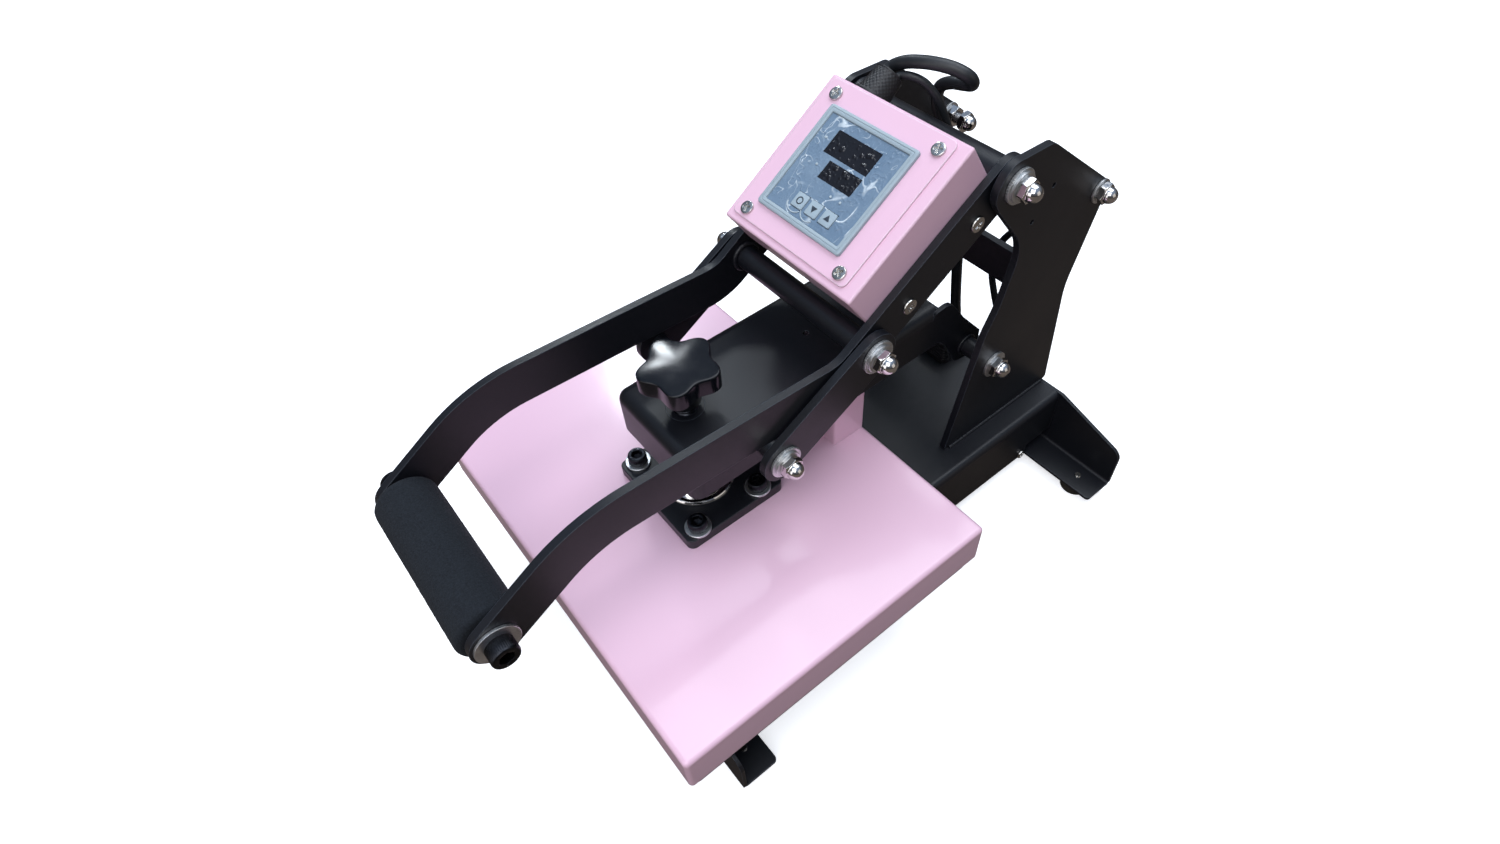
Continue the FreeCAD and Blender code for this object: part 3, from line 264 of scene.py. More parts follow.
def plastic(name, color, rough, scale=1500, bump=0.12, bevel=0.0004, variation=0.25,
            specular=0.5):
    m = new_shader(name)
    m.set(Base_Color=m.mix(m.ramp(m.noise(scale=70, detail=4), (0.35, 0), (0.7, 1)),
                           color, shade(color, 1 - variation)),
          Roughness=m.remap(m.noise(scale=180), to=rough),
          Coat_Roughness=0.06, Specular_IOR_Level=specular,
          Normal=m.bump(m.noise(scale=scale), strength=bump, distance=0.0003,
                        normal=m.bevel(radius=bevel)))
    return m.owner


def brushed(name, color, axis, rough):
    """Ground metal with fine lines along one axis."""
    m = new_shader(name)
    scale = [900.0, 900.0, 900.0]
    scale[axis] = 12.0
    line = m.noise(scale=1.0, vector=m.stretch(scale))
    m.set(Base_Color=m.mix(m.ramp(line, (0.35, 0), (0.65, 1)), color, shade(color, 0.7)),
          Metallic=1.0,
          Roughness=m.remap(line, to=(rough - 0.08, rough + 0.1)),
          Normal=m.bump(line, strength=0.15, distance=0.0001,
                        normal=m.bevel(radius=0.0003)))
    return m.owner


def foam():
    m = new_shader("foam")
    cell = m.voronoi(scale=1300)
    grain = m.noise(scale=950, detail=5, rough=0.7)
    cloud = m.noise(scale=60)
    color = m.mix(m.ramp(grain, (0.3, 0), (0.75, 1)),
                  (0.0036, 0.0048, 0.0070), (0.017, 0.022, 0.030))
    color = m.mix(m.remap(cloud, source=(0.35, 0.7), to=(0.0, 0.35)),
                  color, (0.012, 0.016, 0.021))
    height = m.add(m.times(cell, 0.8), grain)
    m.set(Base_Color=color, Roughness=0.85, Specular_IOR_Level=0.22, Sheen_Weight=0.03,
          Sheen_Roughness=0.5, Normal=m.bump(height, strength=0.55, distance=0.0005))
    return m.owner


def rubber(name, color, rough, bump=0.2):
    m = new_shader(name)
    grain = m.noise(scale=1200, detail=4)
    dust = m.ramp(m.noise(scale=90, detail=4), (0.4, 0), (0.75, 1))
    dusty = tuple(c * gain + 0.003 for c, gain in zip(color, (2.0, 2.0, 1.9)))
    m.set(Base_Color=m.mix(m.times(dust, 0.5), color, dusty),
          Roughness=m.remap(grain, to=(rough - 0.08, rough + 0.1)),
          Normal=m.bump(grain, strength=bump, distance=0.0003,
                        normal=m.bevel(radius=0.0004)))
    return m.owner


def insulation():
    m = new_shader("insulation")
    fibre = m.noise(scale=1.0, detail=5, rough=0.7, vector=m.stretch((300, 1400, 1400)))
    m.set(Base_Color=m.mix(m.ramp(fibre, (0.3, 0), (0.75, 1)),
                           (0.20, 0.12, 0.06), (0.50, 0.36, 0.20)),
          Roughness=0.95, Normal=m.bump(fibre, strength=0.6, distance=0.001))
    return m.owner


def display():
    """Blue-grey panel under a crumpled clear film: painted reflections along its creases, and
    patchy haze.
    """
    m = new_shader("display")
    base = m.mix(m.ramp(m.noise(scale=38, rough=0.5), (0.3, 0), (0.7, 1)),
                 (0.128, 0.200, 0.290), (0.185, 0.262, 0.350))

    def ridge(scale, distortion, width):
        """Thin lines where the noise crosses its middle."""
        value = m.noise(scale=scale, detail=1.5, rough=0.5, distortion=distortion)
        away = m.math("ABSOLUTE", m.math("SUBTRACT", value, 0.5), 0.0)
        return m.remap(away, source=(0.003, width), to=(1.0, 0.0))

    def area_mask(scale, source, top=1.0):
        value = m.noise(scale=scale, detail=2, rough=0.5)
        return m.remap(value, source=source, to=(0.0, top))

    # Painted reflection: pale lines along the creases stand in for light glinting off the
    # crumpled film.
    mask = area_mask(scale=34, source=(0.50, 0.62))
    crease = m.times(ridge(scale=26, distortion=1.2, width=0.016), mask)
    fine = m.times(ridge(scale=75, distortion=0.9, width=0.014),
                   area_mask(scale=48, source=(0.52, 0.64)))
    haze = m.remap(m.noise(scale=95, detail=4, rough=0.65), source=(0.60, 0.67), to=(0.0, 1.0))
    haze = m.times(haze, area_mask(scale=22, source=(0.50, 0.62), top=0.8))
    amount = m.math("MAXIMUM", m.math("MAXIMUM", crease, m.times(fine, 0.8)), haze)
    m.set(Base_Color=m.mix(m.times(amount, 0.85), base, (0.74, 0.83, 0.88)),
          Roughness=m.remap(m.noise(scale=200), to=(0.20, 0.32)),
          Coat_Weight=0.4, Coat_Roughness=0.10,
          Normal=m.bump(m.add(amount, m.times(m.noise(scale=60), 0.6)),
                        strength=0.35, distance=0.0005))
    return m.owner


SLOT = {
    "frame_black": frame_black(),
    "pink_paint": pink_paint(),
    "zinc_screws": metal("zinc_screws", color=(0.62, 0.61, 0.58), rough=(0.14, 0.24),
                         scale=1200, bump=0.05, stain=(0.50, 0.44, 0.32)),
    "zinc_washers": metal("zinc_washers", color=(0.68, 0.70, 0.71), rough=(0.28, 0.44),
                          scale=700, bump=0.10, stain=(0.50, 0.47, 0.41)),
    "chrome_nuts": metal("chrome_nuts", color=(0.74, 0.73, 0.72), rough=(0.05, 0.13),
                         scale=800, bump=0.02, stain=(0.60, 0.53, 0.44)),
    "rod_steel": brushed("rod_steel", color=(0.40, 0.40, 0.41), axis=1, rough=0.3),
    "socket_screws": metal("socket_screws", color=(0.030, 0.032, 0.038), rough=(0.26, 0.40),
                           scale=1200, bump=0.1),
    "foot_rubber": rubber("foot_rubber", color=(0.024, 0.022, 0.018), rough=0.62),
    "silicone": rubber("silicone", color=(0.012, 0.012, 0.013), rough=0.7),
    "black_plastic": plastic("black_plastic", color=(0.010, 0.010, 0.012),
                             rough=(0.38, 0.5)),
    "cord_rubber": rubber("cord_rubber", color=(0.010, 0.012, 0.015), rough=0.42, bump=0.12),
    "foam": foam(),
    "bezel_grey": plastic("bezel_grey", color=(0.33, 0.41, 0.46), rough=(0.38, 0.48),
                          scale=1600, bump=0.06, variation=0.05),
    "display": display(),
    "board_green": plastic("board_green", color=(0.02, 0.13, 0.05), rough=(0.3, 0.4)),
    "button_grey": plastic("button_grey", color=(0.34, 0.43, 0.49), rough=(0.3, 0.4),
                           scale=900, bump=0.05, variation=0.08),
    "plate_aluminium": brushed("plate_aluminium", color=(0.72, 0.73, 0.75), axis=0,
                               rough=0.30),
    "insulation": insulation(),
    "element_steel": metal("element_steel", color=(0.30, 0.26, 0.23), rough=(0.3, 0.45),
                           scale=700, bump=0.12),
    "knob_plastic": plastic("knob_plastic", color=(0.0040, 0.0050, 0.0075),
                            rough=(0.13, 0.18), scale=260, bump=0.010, bevel=0.0005,
                            specular=0.30),
}
DARK_WINDOW = plastic("display_glass", color=(0.005, 0.005, 0.008), rough=(0.16, 0.24),
                      scale=700, bump=0.04)
GLYPH = plastic("glyph_print", color=(0.035, 0.050, 0.070), rough=(0.35, 0.45),
                scale=900, bump=0.05)
PALE = plastic("pale_print", color=(0.48, 0.57, 0.62), rough=(0.35, 0.45),
               scale=900, bump=0.05)
BRASS = metal("contact_brass", color=(0.55, 0.40, 0.16), rough=(0.2, 0.35),
              scale=900, bump=0.05)

node_slot = {part["node"]: part["material_slot"] for part in frame["record"]["subparts"]}
for name, part in frame["nodes"].items():
    part.data.materials.clear()
    part.data.materials.append(
        SLOT["frame_black" if name == "threaded_boss" else node_slot[name]])


# ------------------------------------------------------------------ placing
# A place turns local x, y, z into a point; local z is the axis of the piece.
def along_x(center, x0, side=1):
    """Axis along X from x0 towards side; local x is Y and local y is Z."""
    return lambda x, y, z: Vector((x0 + side * z, center[0] + x, center[1] + y))


def along_z(x0, y0, z0, up=1):
    return lambda x, y, z: Vector((x0 + x, y0 + y, z0 + up * z))


COS_TILT, SIN_TILT = math.cos(BOX_TILT), math.sin(BOX_TILT)


def box_point(x, up, out):
    """A point given across the control box, up its face and out of it."""
    return Vector((x, BOX_CENTER[0] + up * COS_TILT - out * SIN_TILT,
                   BOX_CENTER[1] + up * SIN_TILT + out * COS_TILT))


def on_box(x0, up0):
    return lambda x, y, z: box_point(x0 + x, up0 + y, z)


def on_panel(x0, up0):
    return on_box(x0 + PANEL_X, up0 + PANEL_UP)


def to_world(point):
    return (Vector(point) + PLATEN_OFFSET) * MM


# ------------------------------------------------------------------ mesh helpers
def grid_rows(mesh, rows, loop=False, wrap=True, mat=0):
    """Join rows of equal length by quads.

    wrap closes each row; loop joins the last row to the first instead of capping both.
    """
    rings = [[mesh.verts.new(point) for point in row] for row in rows]
    count = len(rings[0])
    pairs = list(zip(rings, rings[1:]))
    if loop:
        pairs.append((rings[-1], rings[0]))
    corners = [(a[k], a[(k + 1) % count], b[(k + 1) % count], b[k])
               for a, b in pairs for k in range(count if wrap else count - 1)]
    if wrap and not loop:
        corners += [rings[0], rings[-1]]
    for verts in corners:
        face = mesh.faces.new(verts)
        face.material_index = mat
        face.smooth = True
    return rings


def lathe(mesh, place, rows, seg=64, loop=False, mat=0):
    """rows of (height, radius); radius may be a function of the angle."""
    rings = []
    for height, radius in rows:
        ring = []
        for k in range(seg):
            angle = TAU * k / seg
            r = radius(angle) if callable(radius) else radius
            ring.append(place(r * math.cos(angle), r * math.sin(angle), height))
        rings.append(ring)
    grid_rows(mesh, rings, loop=loop, mat=mat)


def rounded_rect(half_x, half_y, radius, steps):
    """Rounded rectangle outline, steps + 1 points a corner."""
    points = []
    radius = max(radius, 0.02)
    for side_x, side_y, start in ((1, 1, 0), (-1, 1, 90), (-1, -1, 180), (1, -1, 270)):
        for k in range(steps + 1):
            angle = math.radians(start + 90 * k / steps)
            points.append((side_x * (half_x - radius) + radius * math.cos(angle),
                           side_y * (half_y - radius) + radius * math.sin(angle)))
    return points


def stack(mesh, place, rows, steps, loop=False):
    """Rounded rectangles joined up; rows of (half x, half y, corner radius, height)."""
    grid_rows(mesh, [[place(x, y, height) for x, y in rounded_rect(half_x, half_y, r, steps)]
                     for half_x, half_y, r, height in rows], loop=loop)


def slab(mesh, place, half_x, half_y, radius, z0, z1, edge, steps, low_edge=None):
    """Rounded rectangular block with rolled edges; low_edge is the roll at z0."""
    low_edge = edge if low_edge is None else low_edge
    angles = [math.radians(90 * k / 3) for k in range(4)]
    insets = [(low_edge * (1 - math.sin(a)), z0 + low_edge * (1 - math.cos(a)))
              for a in angles]
    insets += [(edge * (1 - math.cos(a)), z1 - edge * (1 - math.sin(a))) for a in angles]
    stack(mesh, place, [(half_x - d, half_y - d, radius - d, z) for d, z in insets], steps)


def finish(mesh, name, slot, body, replaces=None, materials=None, smooth=30.0):
    """Turn the mesh into an object in metres that moves with a body.

    smooth is the largest angle, in degrees, that is still shaded smooth.
    """
    bmesh.ops.recalc_face_normals(mesh, faces=mesh.faces)
    for vert in mesh.verts:
        vert.co = to_world(vert.co)
    data = bpy.data.meshes.new(name)
    mesh.to_mesh(data)
    mesh.free()
    data.shade_smooth()
    data.set_sharp_from_angle(angle=math.radians(smooth))
    for material in materials or [SLOT[slot]]:
        data.materials.append(material)
    obj = bpy.data.objects.new(name, data)
    scene.collection.objects.link(obj)
    if body is not None:
        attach(obj, body)
    if replaces:
        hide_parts(replaces)
    return obj


# ------------------------------------------------------------------ hardware shapes
def washer(mesh, place, outer, inner, thick, teeth=0):
    chamfer = 0.22

    def rim(inset):
        if not teeth:
            return outer - inset
        return lambda angle: outer - inset - 0.28 * max(0.0, math.sin(angle * teeth)) ** 2

    lathe(mesh, place, [
        (chamfer, inner), (0.0, inner + chamfer), (0.0, rim(chamfer)), (chamfer, rim(0.0)),
        (thick - chamfer, rim(0.0)), (thick, rim(chamfer * 1.3)), (thick, inner + chamfer),
        (thick - chamfer, inner)], teeth * 6 if teeth else 96, loop=True)


def hexagon(flats, turn):
    """Radius of a hexagon by angle, from its width across flats."""
    start = math.radians(turn)

    def radius(angle):
        return flats / 2 / math.cos((angle - start) % (math.pi / 3) - math.pi / 6)
    return radius


def hex_sides(flats, thick, turn, steps):
    """Lower and upper rows of a hexagon whose corners are chamfered at 30 degrees."""
    radius = hexagon(flats, turn)
    chamfer = 0.0505 * flats * 1.15
    low, slope = flats * 0.487, 1 / math.tan(math.radians(30))

    def cut(h):
        return lambda angle: min(radius(angle), low + h * slope)
    heights = [chamfer * (k / steps) for k in range(steps + 1)]
    return [(h, cut(h)) for h in heights], [(thick - h, cut(h)) for h in reversed(heights)]


def acorn(mesh, place, flats, thick, dome, turn):
    """Domed nut: chamfered hexagon, waist and dome."""
    lower, upper = hex_sides(flats, thick, turn, 5)
    radius = flats * 0.43
    neck = dome - radius
    rows = lower + upper + [(thick, radius + 0.55), (thick + 0.12, radius + 0.2),
                            (thick + 0.5, radius), (thick + neck, radius)]
    for k in range(1, 14):
        angle = math.radians(90 * k / 14)
        rows.append((thick + neck + radius * math.sin(angle), radius * math.cos(angle)))
    lathe(mesh, place, rows, 96)


def plain_nut(mesh, place, flats, thick, turn, bore):
    lower, upper = hex_sides(flats, thick, turn, 4)
    lathe(mesh, place, [(0.4, bore), (0.0, bore + 0.5)] + lower + upper
          + [(thick, bore + 0.5), (thick - 0.4, bore)], 96, loop=True)


def hex_head(mesh, place, flats, thick, turn):
    lower, upper = hex_sides(flats, thick, turn, 4)
    lathe(mesh, place, [(0.0, flats * 0.47), (0.3, flats * 0.47), (0.3, lower[-1][1])] + upper
          + [(thick, flats * 0.3), (thick - 0.15, flats * 0.28)], 96)


def threaded(mesh, place, radius, start, end, pitch, depth, seg=40):
    """Rod with a real helical thread; both ends are chamfered."""
    count = max(4, int(round((end - start) / (pitch / 6.0))))
    rows = []
    for i in range(count + 1):
        h = start + (end - start) * i / count
        full = max(0.0, min(1.0, (end - h) / (depth * 1.6), (h - start) / (depth * 1.6)))

        def thread(angle, h=h, full=full):
            phase = (h / pitch - angle / TAU) % 1.0
            crest = min(1.0, max(0.0, abs(phase * 2 - 1) * 1.5 - 0.25))
            return radius - depth * (1 - full) - depth * full * (1 - crest)
        rows.append((h, thread))
    lathe(mesh, place, rows, seg)


def socket_head(mesh, place, radius, height, flats, turn, depth, knurls):
    """Cap screw head: knurled side, rolled top edge, hexagonal socket."""
    socket = hexagon(flats, turn)

    def knurl(angle):
        return radius - 0.22 * (0.5 - 0.5 * math.cos(angle * knurls))
    rows = [(0.0, radius - 0.3), (0.25, knurl), (height - 1.3, knurl),
            (height - 1.1, radius - 0.25)]
    for k in range(1, 5):
        angle = math.radians(90 * k / 4)
        rows.append((height - 0.9 + 0.9 * math.sin(angle),
                     radius - 0.25 - 0.9 * (1 - math.cos(angle))))
    rim = flats / 2 / math.cos(math.pi / 6) + 0.25
    rows += [(height, rim), (height - 0.3, lambda angle: min(socket(angle) * 1.02, rim)),
             (height - depth, socket),
             (height - depth - 0.6, lambda angle: socket(angle) * 0.45),
             (height - depth - 1.0, 0.3)]
    lathe(mesh, place, rows, knurls * 4)


def phillips(mesh, place, radius, height, turn, seg=72, shank=None):
    """Pan head with a real cross recess, growing outwards; shank is (radius, length)."""
    cos_turn, sin_turn = math.cos(math.radians(turn)), math.sin(math.radians(turn))
    slot_half, slot_length = radius * 0.115, radius * 0.62

    def recess(x, y):
        a, b = x * cos_turn + y * sin_turn, -x * sin_turn + y * cos_turn
        depth = 0.0
        for lengthwise, across in ((a, b), (b, a)):
            reach = abs(lengthwise)
            if reach < slot_length:
                wall = 1 - max(0.0, min(1.0, (abs(across) - slot_half) / (radius * 0.06)))
                end = min(1.0, (slot_length - reach) / (radius * 0.12))
                floor_depth = 0.55 * height * (1 - 0.35 * reach / slot_length)
                depth = max(depth, wall * end * floor_depth)
        from_axis = math.hypot(a, b)
        if from_axis < radius * 0.26:
            well = min(1.0, (radius * 0.26 - from_axis) / (radius * 0.08))
            depth = max(depth, 0.62 * height * well)
        return depth

    def ring(r):
        return [(r * math.cos(TAU * k / seg), r * math.sin(TAU * k / seg))
                for k in range(seg)]
    rows = [[place(x, y, z) for x, y in ring(r)]
            for r, z in ((radius * 0.93, 0.0), (radius, height * 0.14),
                         (radius, height * 0.42), (radius * 0.985, height * 0.58))]
    top = 22
    for i in range(top):
        r = radius * 0.955 * (1 - i / (top - 0.45))
        dome = height * 0.58 + height * 0.42 * math.cos(math.asin(r / radius)) ** 0.55
        rows.append([place(x, y, dome - recess(x, y)) for x, y in ring(r)])
    grid_rows(mesh, rows)
    if shank:
        lathe(mesh, place, [(-shank[1], shank[0] * 0.8), (-shank[1] + 0.5, shank[0]),
                            (0.05, shank[0])], 24)


# ------------------------------------------------------------------ pivot hardware
# Washers on each pivot from the plate outwards: (outer radius, bore radius, thickness, teeth)
HANDLE_WASHERS = [(11.3, 5.1, 2.2, 40), (9.6, 5.1, 1.8, 0)]
ARM_WASHERS = [(10.2, 5.1, 2.0, 0)]
CORNER_WASHERS = [(8.5, 4.1, 1.6, 0)]
LINK_TOP_WASHERS = [(11.2, 5.1, 2.0, 40), (9.2, 5.1, 1.6, 0)]
LINK_END_WASHERS = [(10.8, 4.1, 2.0, 38), (8.9, 4.1, 1.6, 0)]


def above(face, washers):
    """Distance at which a nut sits on a stack of washers."""
    return face + sum(row[2] for row in washers)


def add_washers(mesh, center, face, washers, side=1):
    for i, row in enumerate(washers):
        washer(mesh, along_x(center, side * above(face, washers[:i]), side), *row)


# Acorn nuts of the main handle pivot
mesh = bmesh.new()
for side in SIDES:
    acorn(mesh, along_x(HANDLE_PIVOT, side * above(POST_OUT, HANDLE_WASHERS), side),
          flats=13.6, thick=5.5, dome=6.6, turn=10.0 if side > 0 else 40.0)
finish(mesh, "v_main_nuts", "chrome_nuts", "frame", "main_acorn_nuts")

# Nuts of the press arm pivot and the corner bolts
mesh = bmesh.new()
for side in SIDES:
    acorn(mesh, along_x(ARM_PIVOT, side * above(POST_OUT, ARM_WASHERS), side),
          flats=14.0, thick=5.2, dome=6.6, turn=24.0 if side > 0 else 5.0)
for x in (above(POST_OUT, CORNER_WASHERS), -49.5):
    acorn(mesh, along_x(CORNER, x), flats=13.0, thick=5.0, dome=6.2, turn=8.0)
plain_nut(mesh, along_x(CORNER, above(-POST_IN, CORNER_WASHERS)),
          flats=13.0, thick=6.5, turn=20.0, bore=3.9)
finish(mesh, "v_frame_nuts", "chrome_nuts", "frame", "frame_acorn_nuts")

mesh = bmesh.new()
for side in SIDES:
    add_washers(mesh, HANDLE_PIVOT, POST_OUT, HANDLE_WASHERS, side)
    add_washers(mesh, ARM_PIVOT, POST_OUT, ARM_WASHERS, side)
for face in (POST_OUT, -POST_IN):
    add_washers(mesh, CORNER, face, CORNER_WASHERS)
finish(mesh, "v_frame_washers", "zinc_washers", "frame", "frame_washers")

# Corner bolts: head on the post's -X face, thread past its +X face
mesh = bmesh.new()
for near, tip in ((POST_IN, above(POST_OUT, CORNER_WASHERS)), (-POST_OUT, -46.0)):
    far = near + POST_OUT - POST_IN
    hex_head(mesh, along_x(CORNER, near, -1), flats=13.0, thick=5.5, turn=5.0)
    lathe(mesh, along_x(CORNER, near - 0.2), [(0.0, 4.0), (far - near + 0.4, 4.0)], 40)
    threaded(mesh, along_x(CORNER, far), radius=4.0, start=0.0, end=tip - far + 1.5,
             pitch=1.25, depth=0.55)
finish(mesh, "v_corner_bolts", "rod_steel", "frame", "corner_bolts")

# Link pins at the handle
mesh = bmesh.new()
for side in SIDES:
    acorn(mesh, along_x(LINK_TOP, side * above(LINK_OUT, LINK_TOP_WASHERS), side),
          flats=13.4, thick=5.2, dome=6.4, turn=12.0)
finish(mesh, "v_link_pin_nuts", "chrome_nuts", "handle", "link_pin_nuts")
mesh = bmesh.new()
for side in SIDES:
    washer(mesh, along_x(LINK_TOP, side * ARM_OUT, side), outer=8.0, inner=5.1, thick=1.35)
    add_washers(mesh, LINK_TOP, LINK_OUT, LINK_TOP_WASHERS, side)
finish(mesh, "v_link_pin_washers", "zinc_washers", "handle", "link_pin_washers")

# Link ends at the press arm
mesh = bmesh.new()
for side in SIDES:
    acorn(mesh, along_x(LINK_END, side * above(POST_OUT, LINK_END_WASHERS), side),
          flats=13.0, thick=5.0, dome=6.2, turn=18.0)
finish(mesh, "v_link_end_nuts", "chrome_nuts", "links", "link_end_nuts")
mesh = bmesh.new()
for side in SIDES:
    add_washers(mesh, LINK_END, POST_OUT, LINK_END_WASHERS, side)
finish(mesh, "v_link_end_washers", "zinc_washers", "links", "link_end_washers")

# ------------------------------------------------------------------ screws
GRIP_WASHER = 2.0   # thickness
MOUNT_WASHER = 1.8

mesh = bmesh.new()
for side in SIDES:
    socket_head(mesh, along_x(GRIP, side * (ARM_OUT + GRIP_WASHER), side), radius=8.2,
                height=9.5, flats=8.0, turn=15.0, depth=5.5, knurls=48)
finish(mesh, "v_grip_screws", "socket_screws", "handle", "grip_screws")
mesh = bmesh.new()
for side in SIDES:
    washer(mesh, along_x(GRIP, side * ARM_OUT, side), outer=13.0, inner=5.3,
           thick=GRIP_WASHER)
finish(mesh, "v_grip_washers", "zinc_washers", "handle", "grip_washers")

# Four mount screws round the swivel collar
mesh, washer_mesh = bmesh.new(), bmesh.new()
for x in (35.0, -35.0):
    for y in (24.5, -24.5):
        socket_head(mesh, along_z(x, y, MOUNT_TOP + MOUNT_WASHER), radius=6.5, height=6.6,
                    flats=6.4, turn=12.0, depth=3.9, knurls=36)
        washer(washer_mesh, along_z(x, y, MOUNT_TOP), outer=8.8, inner=4.3,
               thick=MOUNT_WASHER)
finish(mesh, "v_mount_screws", "socket_screws", "platen", "mount_screws")
finish(washer_mesh, "v_mount_washers", "zinc_washers", "platen", "mount_washers")

# Pan heads on the face and sides of the control box
mesh = bmesh.new()
for i, (side_x, side_y) in enumerate(((1, 1), (1, -1), (-1, 1), (-1, -1))):
    phillips(mesh, on_box(side_x * 41.3 - 1.6, side_y * 42.3), radius=4.4, height=1.9,
             turn=20 + 31 * i, shank=(2.0, 8.0))
for side in SIDES:
    for i, center in enumerate(((174.5, 270.6), (123.7, 238.1))):
        phillips(mesh, along_x(center, side * ARM_OUT, side), radius=5.2, height=1.8,
                 turn=12 + 40 * i + 15 * side, shank=(2.0, 7.0))
finish(mesh, "v_box_screws", "zinc_screws", "handle", "box_pan_screws", smooth=40)

# Pan heads on the base: its sides, the cord anchor's top and the feet
mesh = bmesh.new()
for side in SIDES:
    for i, y in enumerate((251.5, -48.8)):
        phillips(mesh, along_x((y, 17.5), side * 87.6, side), radius=3.8, height=2.2,
                 turn=33 + 50 * i, seg=48, shank=(2.0, 4.0))
for i, x in enumerate((-17.5, 1.5)):
    phillips(mesh, along_z(x, 245.0, 86.0), radius=3.8, height=2.0, turn=10 + 60 * i,
             seg=48, shank=(2.0, 6.0))
for x, y in FEET:
    phillips(mesh, along_z(x, y, 4.0, -1), radius=4.6, height=2.6, turn=25 + y, seg=48)
    threaded(mesh, along_z(x, y, 4.0), radius=2.5, start=0.0, end=9.2, pitch=0.8,
             depth=0.3, seg=24)
finish(mesh, "v_base_screws", "zinc_screws", "frame", "base_pan_screws", smooth=40)


# ------------------------------------------------------------------ turned parts
# Every profile is a list of (height, radius).
def star(inset):
    """Five-lobed outline drawn in along its own normal, so the lobes stay round."""
    def radius(angle):
        phase = 5 * (angle + math.radians(38))
        r = 22.6 + 3.0 * math.cos(phase)
        slope = -15.0 * math.sin(phase)
        return r - inset * math.sqrt(1 + (slope / r) ** 2) * 0.94
    return radius


# Star knob on the pressure screw
mesh = bmesh.new()
rows = [(195.5, 10.0), (195.7, 10.5), (196.3, 10.7), (212.0, 11.4), (213.0, 12.2),
        (213.4, 13.6), (213.4, star(1.0)), (213.6, star(0.35)), (214.1, star(0.0)),
        (225.1, star(0.0))]
for k in range(1, 7):
    angle = math.radians(90 * k / 6)
    rows.append((225.1 + 1.1 * math.sin(angle), star(1.1 * (1 - math.cos(angle)))))
for part in (0.94, 0.86, 0.76, 0.64, 0.5, 0.36, 0.22, 0.1, 0.02):
    rows.append((226.2 + 0.8 * (1 - part * part), lambda angle, part=part:
                 part * (star(1.1)(angle) * part + 21.0 * (1 - part))))
lathe(mesh, along_z(0, 0, 0), rows, 240)
finish(mesh, "v_star_knob", "knob_plastic", "knob", "star_knob")

# Pressure screw above its thrust flange
mesh = bmesh.new()
threaded(mesh, along_z(0, 0, 0), radius=8.0, start=128.5, end=205.0, pitch=3.0, depth=1.1,
         seg=72)
lathe(mesh, along_z(0, 0, 123.1), [(0.0, 11.4), (0.5, 12.0), (5.4, 12.0), (5.9, 11.5)], 72)
finish(mesh, "v_pressure_screw", "socket_screws", "knob", "pressure_screw")


def collar_side(angle):
    """Axis pointing out of the collar's side at an angle about Z."""
    cos, sin = math.cos(angle), math.sin(angle)
    return lambda x, y, z: Vector((19.0 * cos - x * sin + z * cos,
                                   19.0 * sin + x * cos + z * sin, 126.0 + y))


# Swivel collar with two set screws
mesh = bmesh.new()
lathe(mesh, along_z(0, 0, MOUNT_TOP), [
    (6.2, 9.0), (5.0, 8.3), (3.0, 12.4), (0.4, 12.6), (0.0, 13.0), (0.0, 25.6), (0.3, 26.0),
    (1.6, 25.5), (2.3, 24.9), (2.5, 24.3), (2.5, 19.6), (2.9, 19.05), (8.2, 19.0),
    (8.5, 18.7), (8.9, 18.7), (9.2, 19.0), (11.5, 19.0), (12.1, 18.6), (14.7, 16.3),
    (15.0, 15.7), (15.0, 9.2), (14.4, 8.3)], 120, loop=True)
for turn in (35, 215):
    lathe(mesh, collar_side(math.radians(turn)), [
        (-0.6, 2.4), (0.25, 2.4), (0.45, 2.1), (0.45, hexagon(2.4, 0)),
        (-0.3, hexagon(2.4, 0))], 36)
finish(mesh, "v_swivel_collar", "chrome_nuts", "platen", "swivel_collar")

# Foam grip: skinned foam with a fine open grain, softly rolled ends
GRIP_LENGTH, GRIP_STEPS = 109.0, 118
GRIP_END = [(0.0, 11.0), (0.0, 15.6), (0.35, 17.0), (1.2, 18.2), (2.4, 18.85), (4.0, 19.0)]
END_LENGTH, GRIP_RADIUS = GRIP_END[-1]


def foam_skin(height, radius):
    """Uneven radius outside; the bore stays round."""
    def skin(angle):
        if radius <= 11.5:
            return radius
        p = Vector((height * 0.55, 10.5 * math.cos(angle), 10.5 * math.sin(angle)))
        return (radius - 0.12 + 0.10 * noise.noise(p) - 0.16 * abs(noise.noise(p * 0.28))
                - 0.05 * noise.noise(p * 0.09))
    return skin


mesh = bmesh.new()
rows = GRIP_END + [
    (END_LENGTH + (GRIP_LENGTH - 2 * END_LENGTH) * i / GRIP_STEPS, GRIP_RADIUS)
    for i in range(1, GRIP_STEPS)] + [(GRIP_LENGTH - h, r) for h, r in reversed(GRIP_END)]
lathe(mesh, along_x(GRIP, -GRIP_LENGTH / 2), [(h, foam_skin(h, r)) for h, r in rows],
      150, loop=True)
finish(mesh, "v_foam_grip", "foam", "handle", "foam_grip", smooth=60)


# Rubber feet: tapered, with a rolled lip, moulded ribs and a counterbore
def ribbed(radius):
    return lambda angle: radius + 0.16 * math.cos(24 * angle)


mesh = bmesh.new()
for x, y in FEET:
    lathe(mesh, along_z(x, y, 0), [
        (4.0, 4.8), (3.7, 5.2), (0.5, 5.2), (0.0, 5.8), (0.0, 10.6), (0.25, 11.1),
        (0.9, 11.4), (1.6, ribbed(11.4)), (7.2, ribbed(12.2)), (7.7, 12.3), (7.9, 11.9),
        (8.2, 11.9), (8.4, 12.5), (9.0, 12.7), (9.5, 12.3)], 96)
finish(mesh, "v_rubber_feet", "foot_rubber", "frame", "rubber_feet")

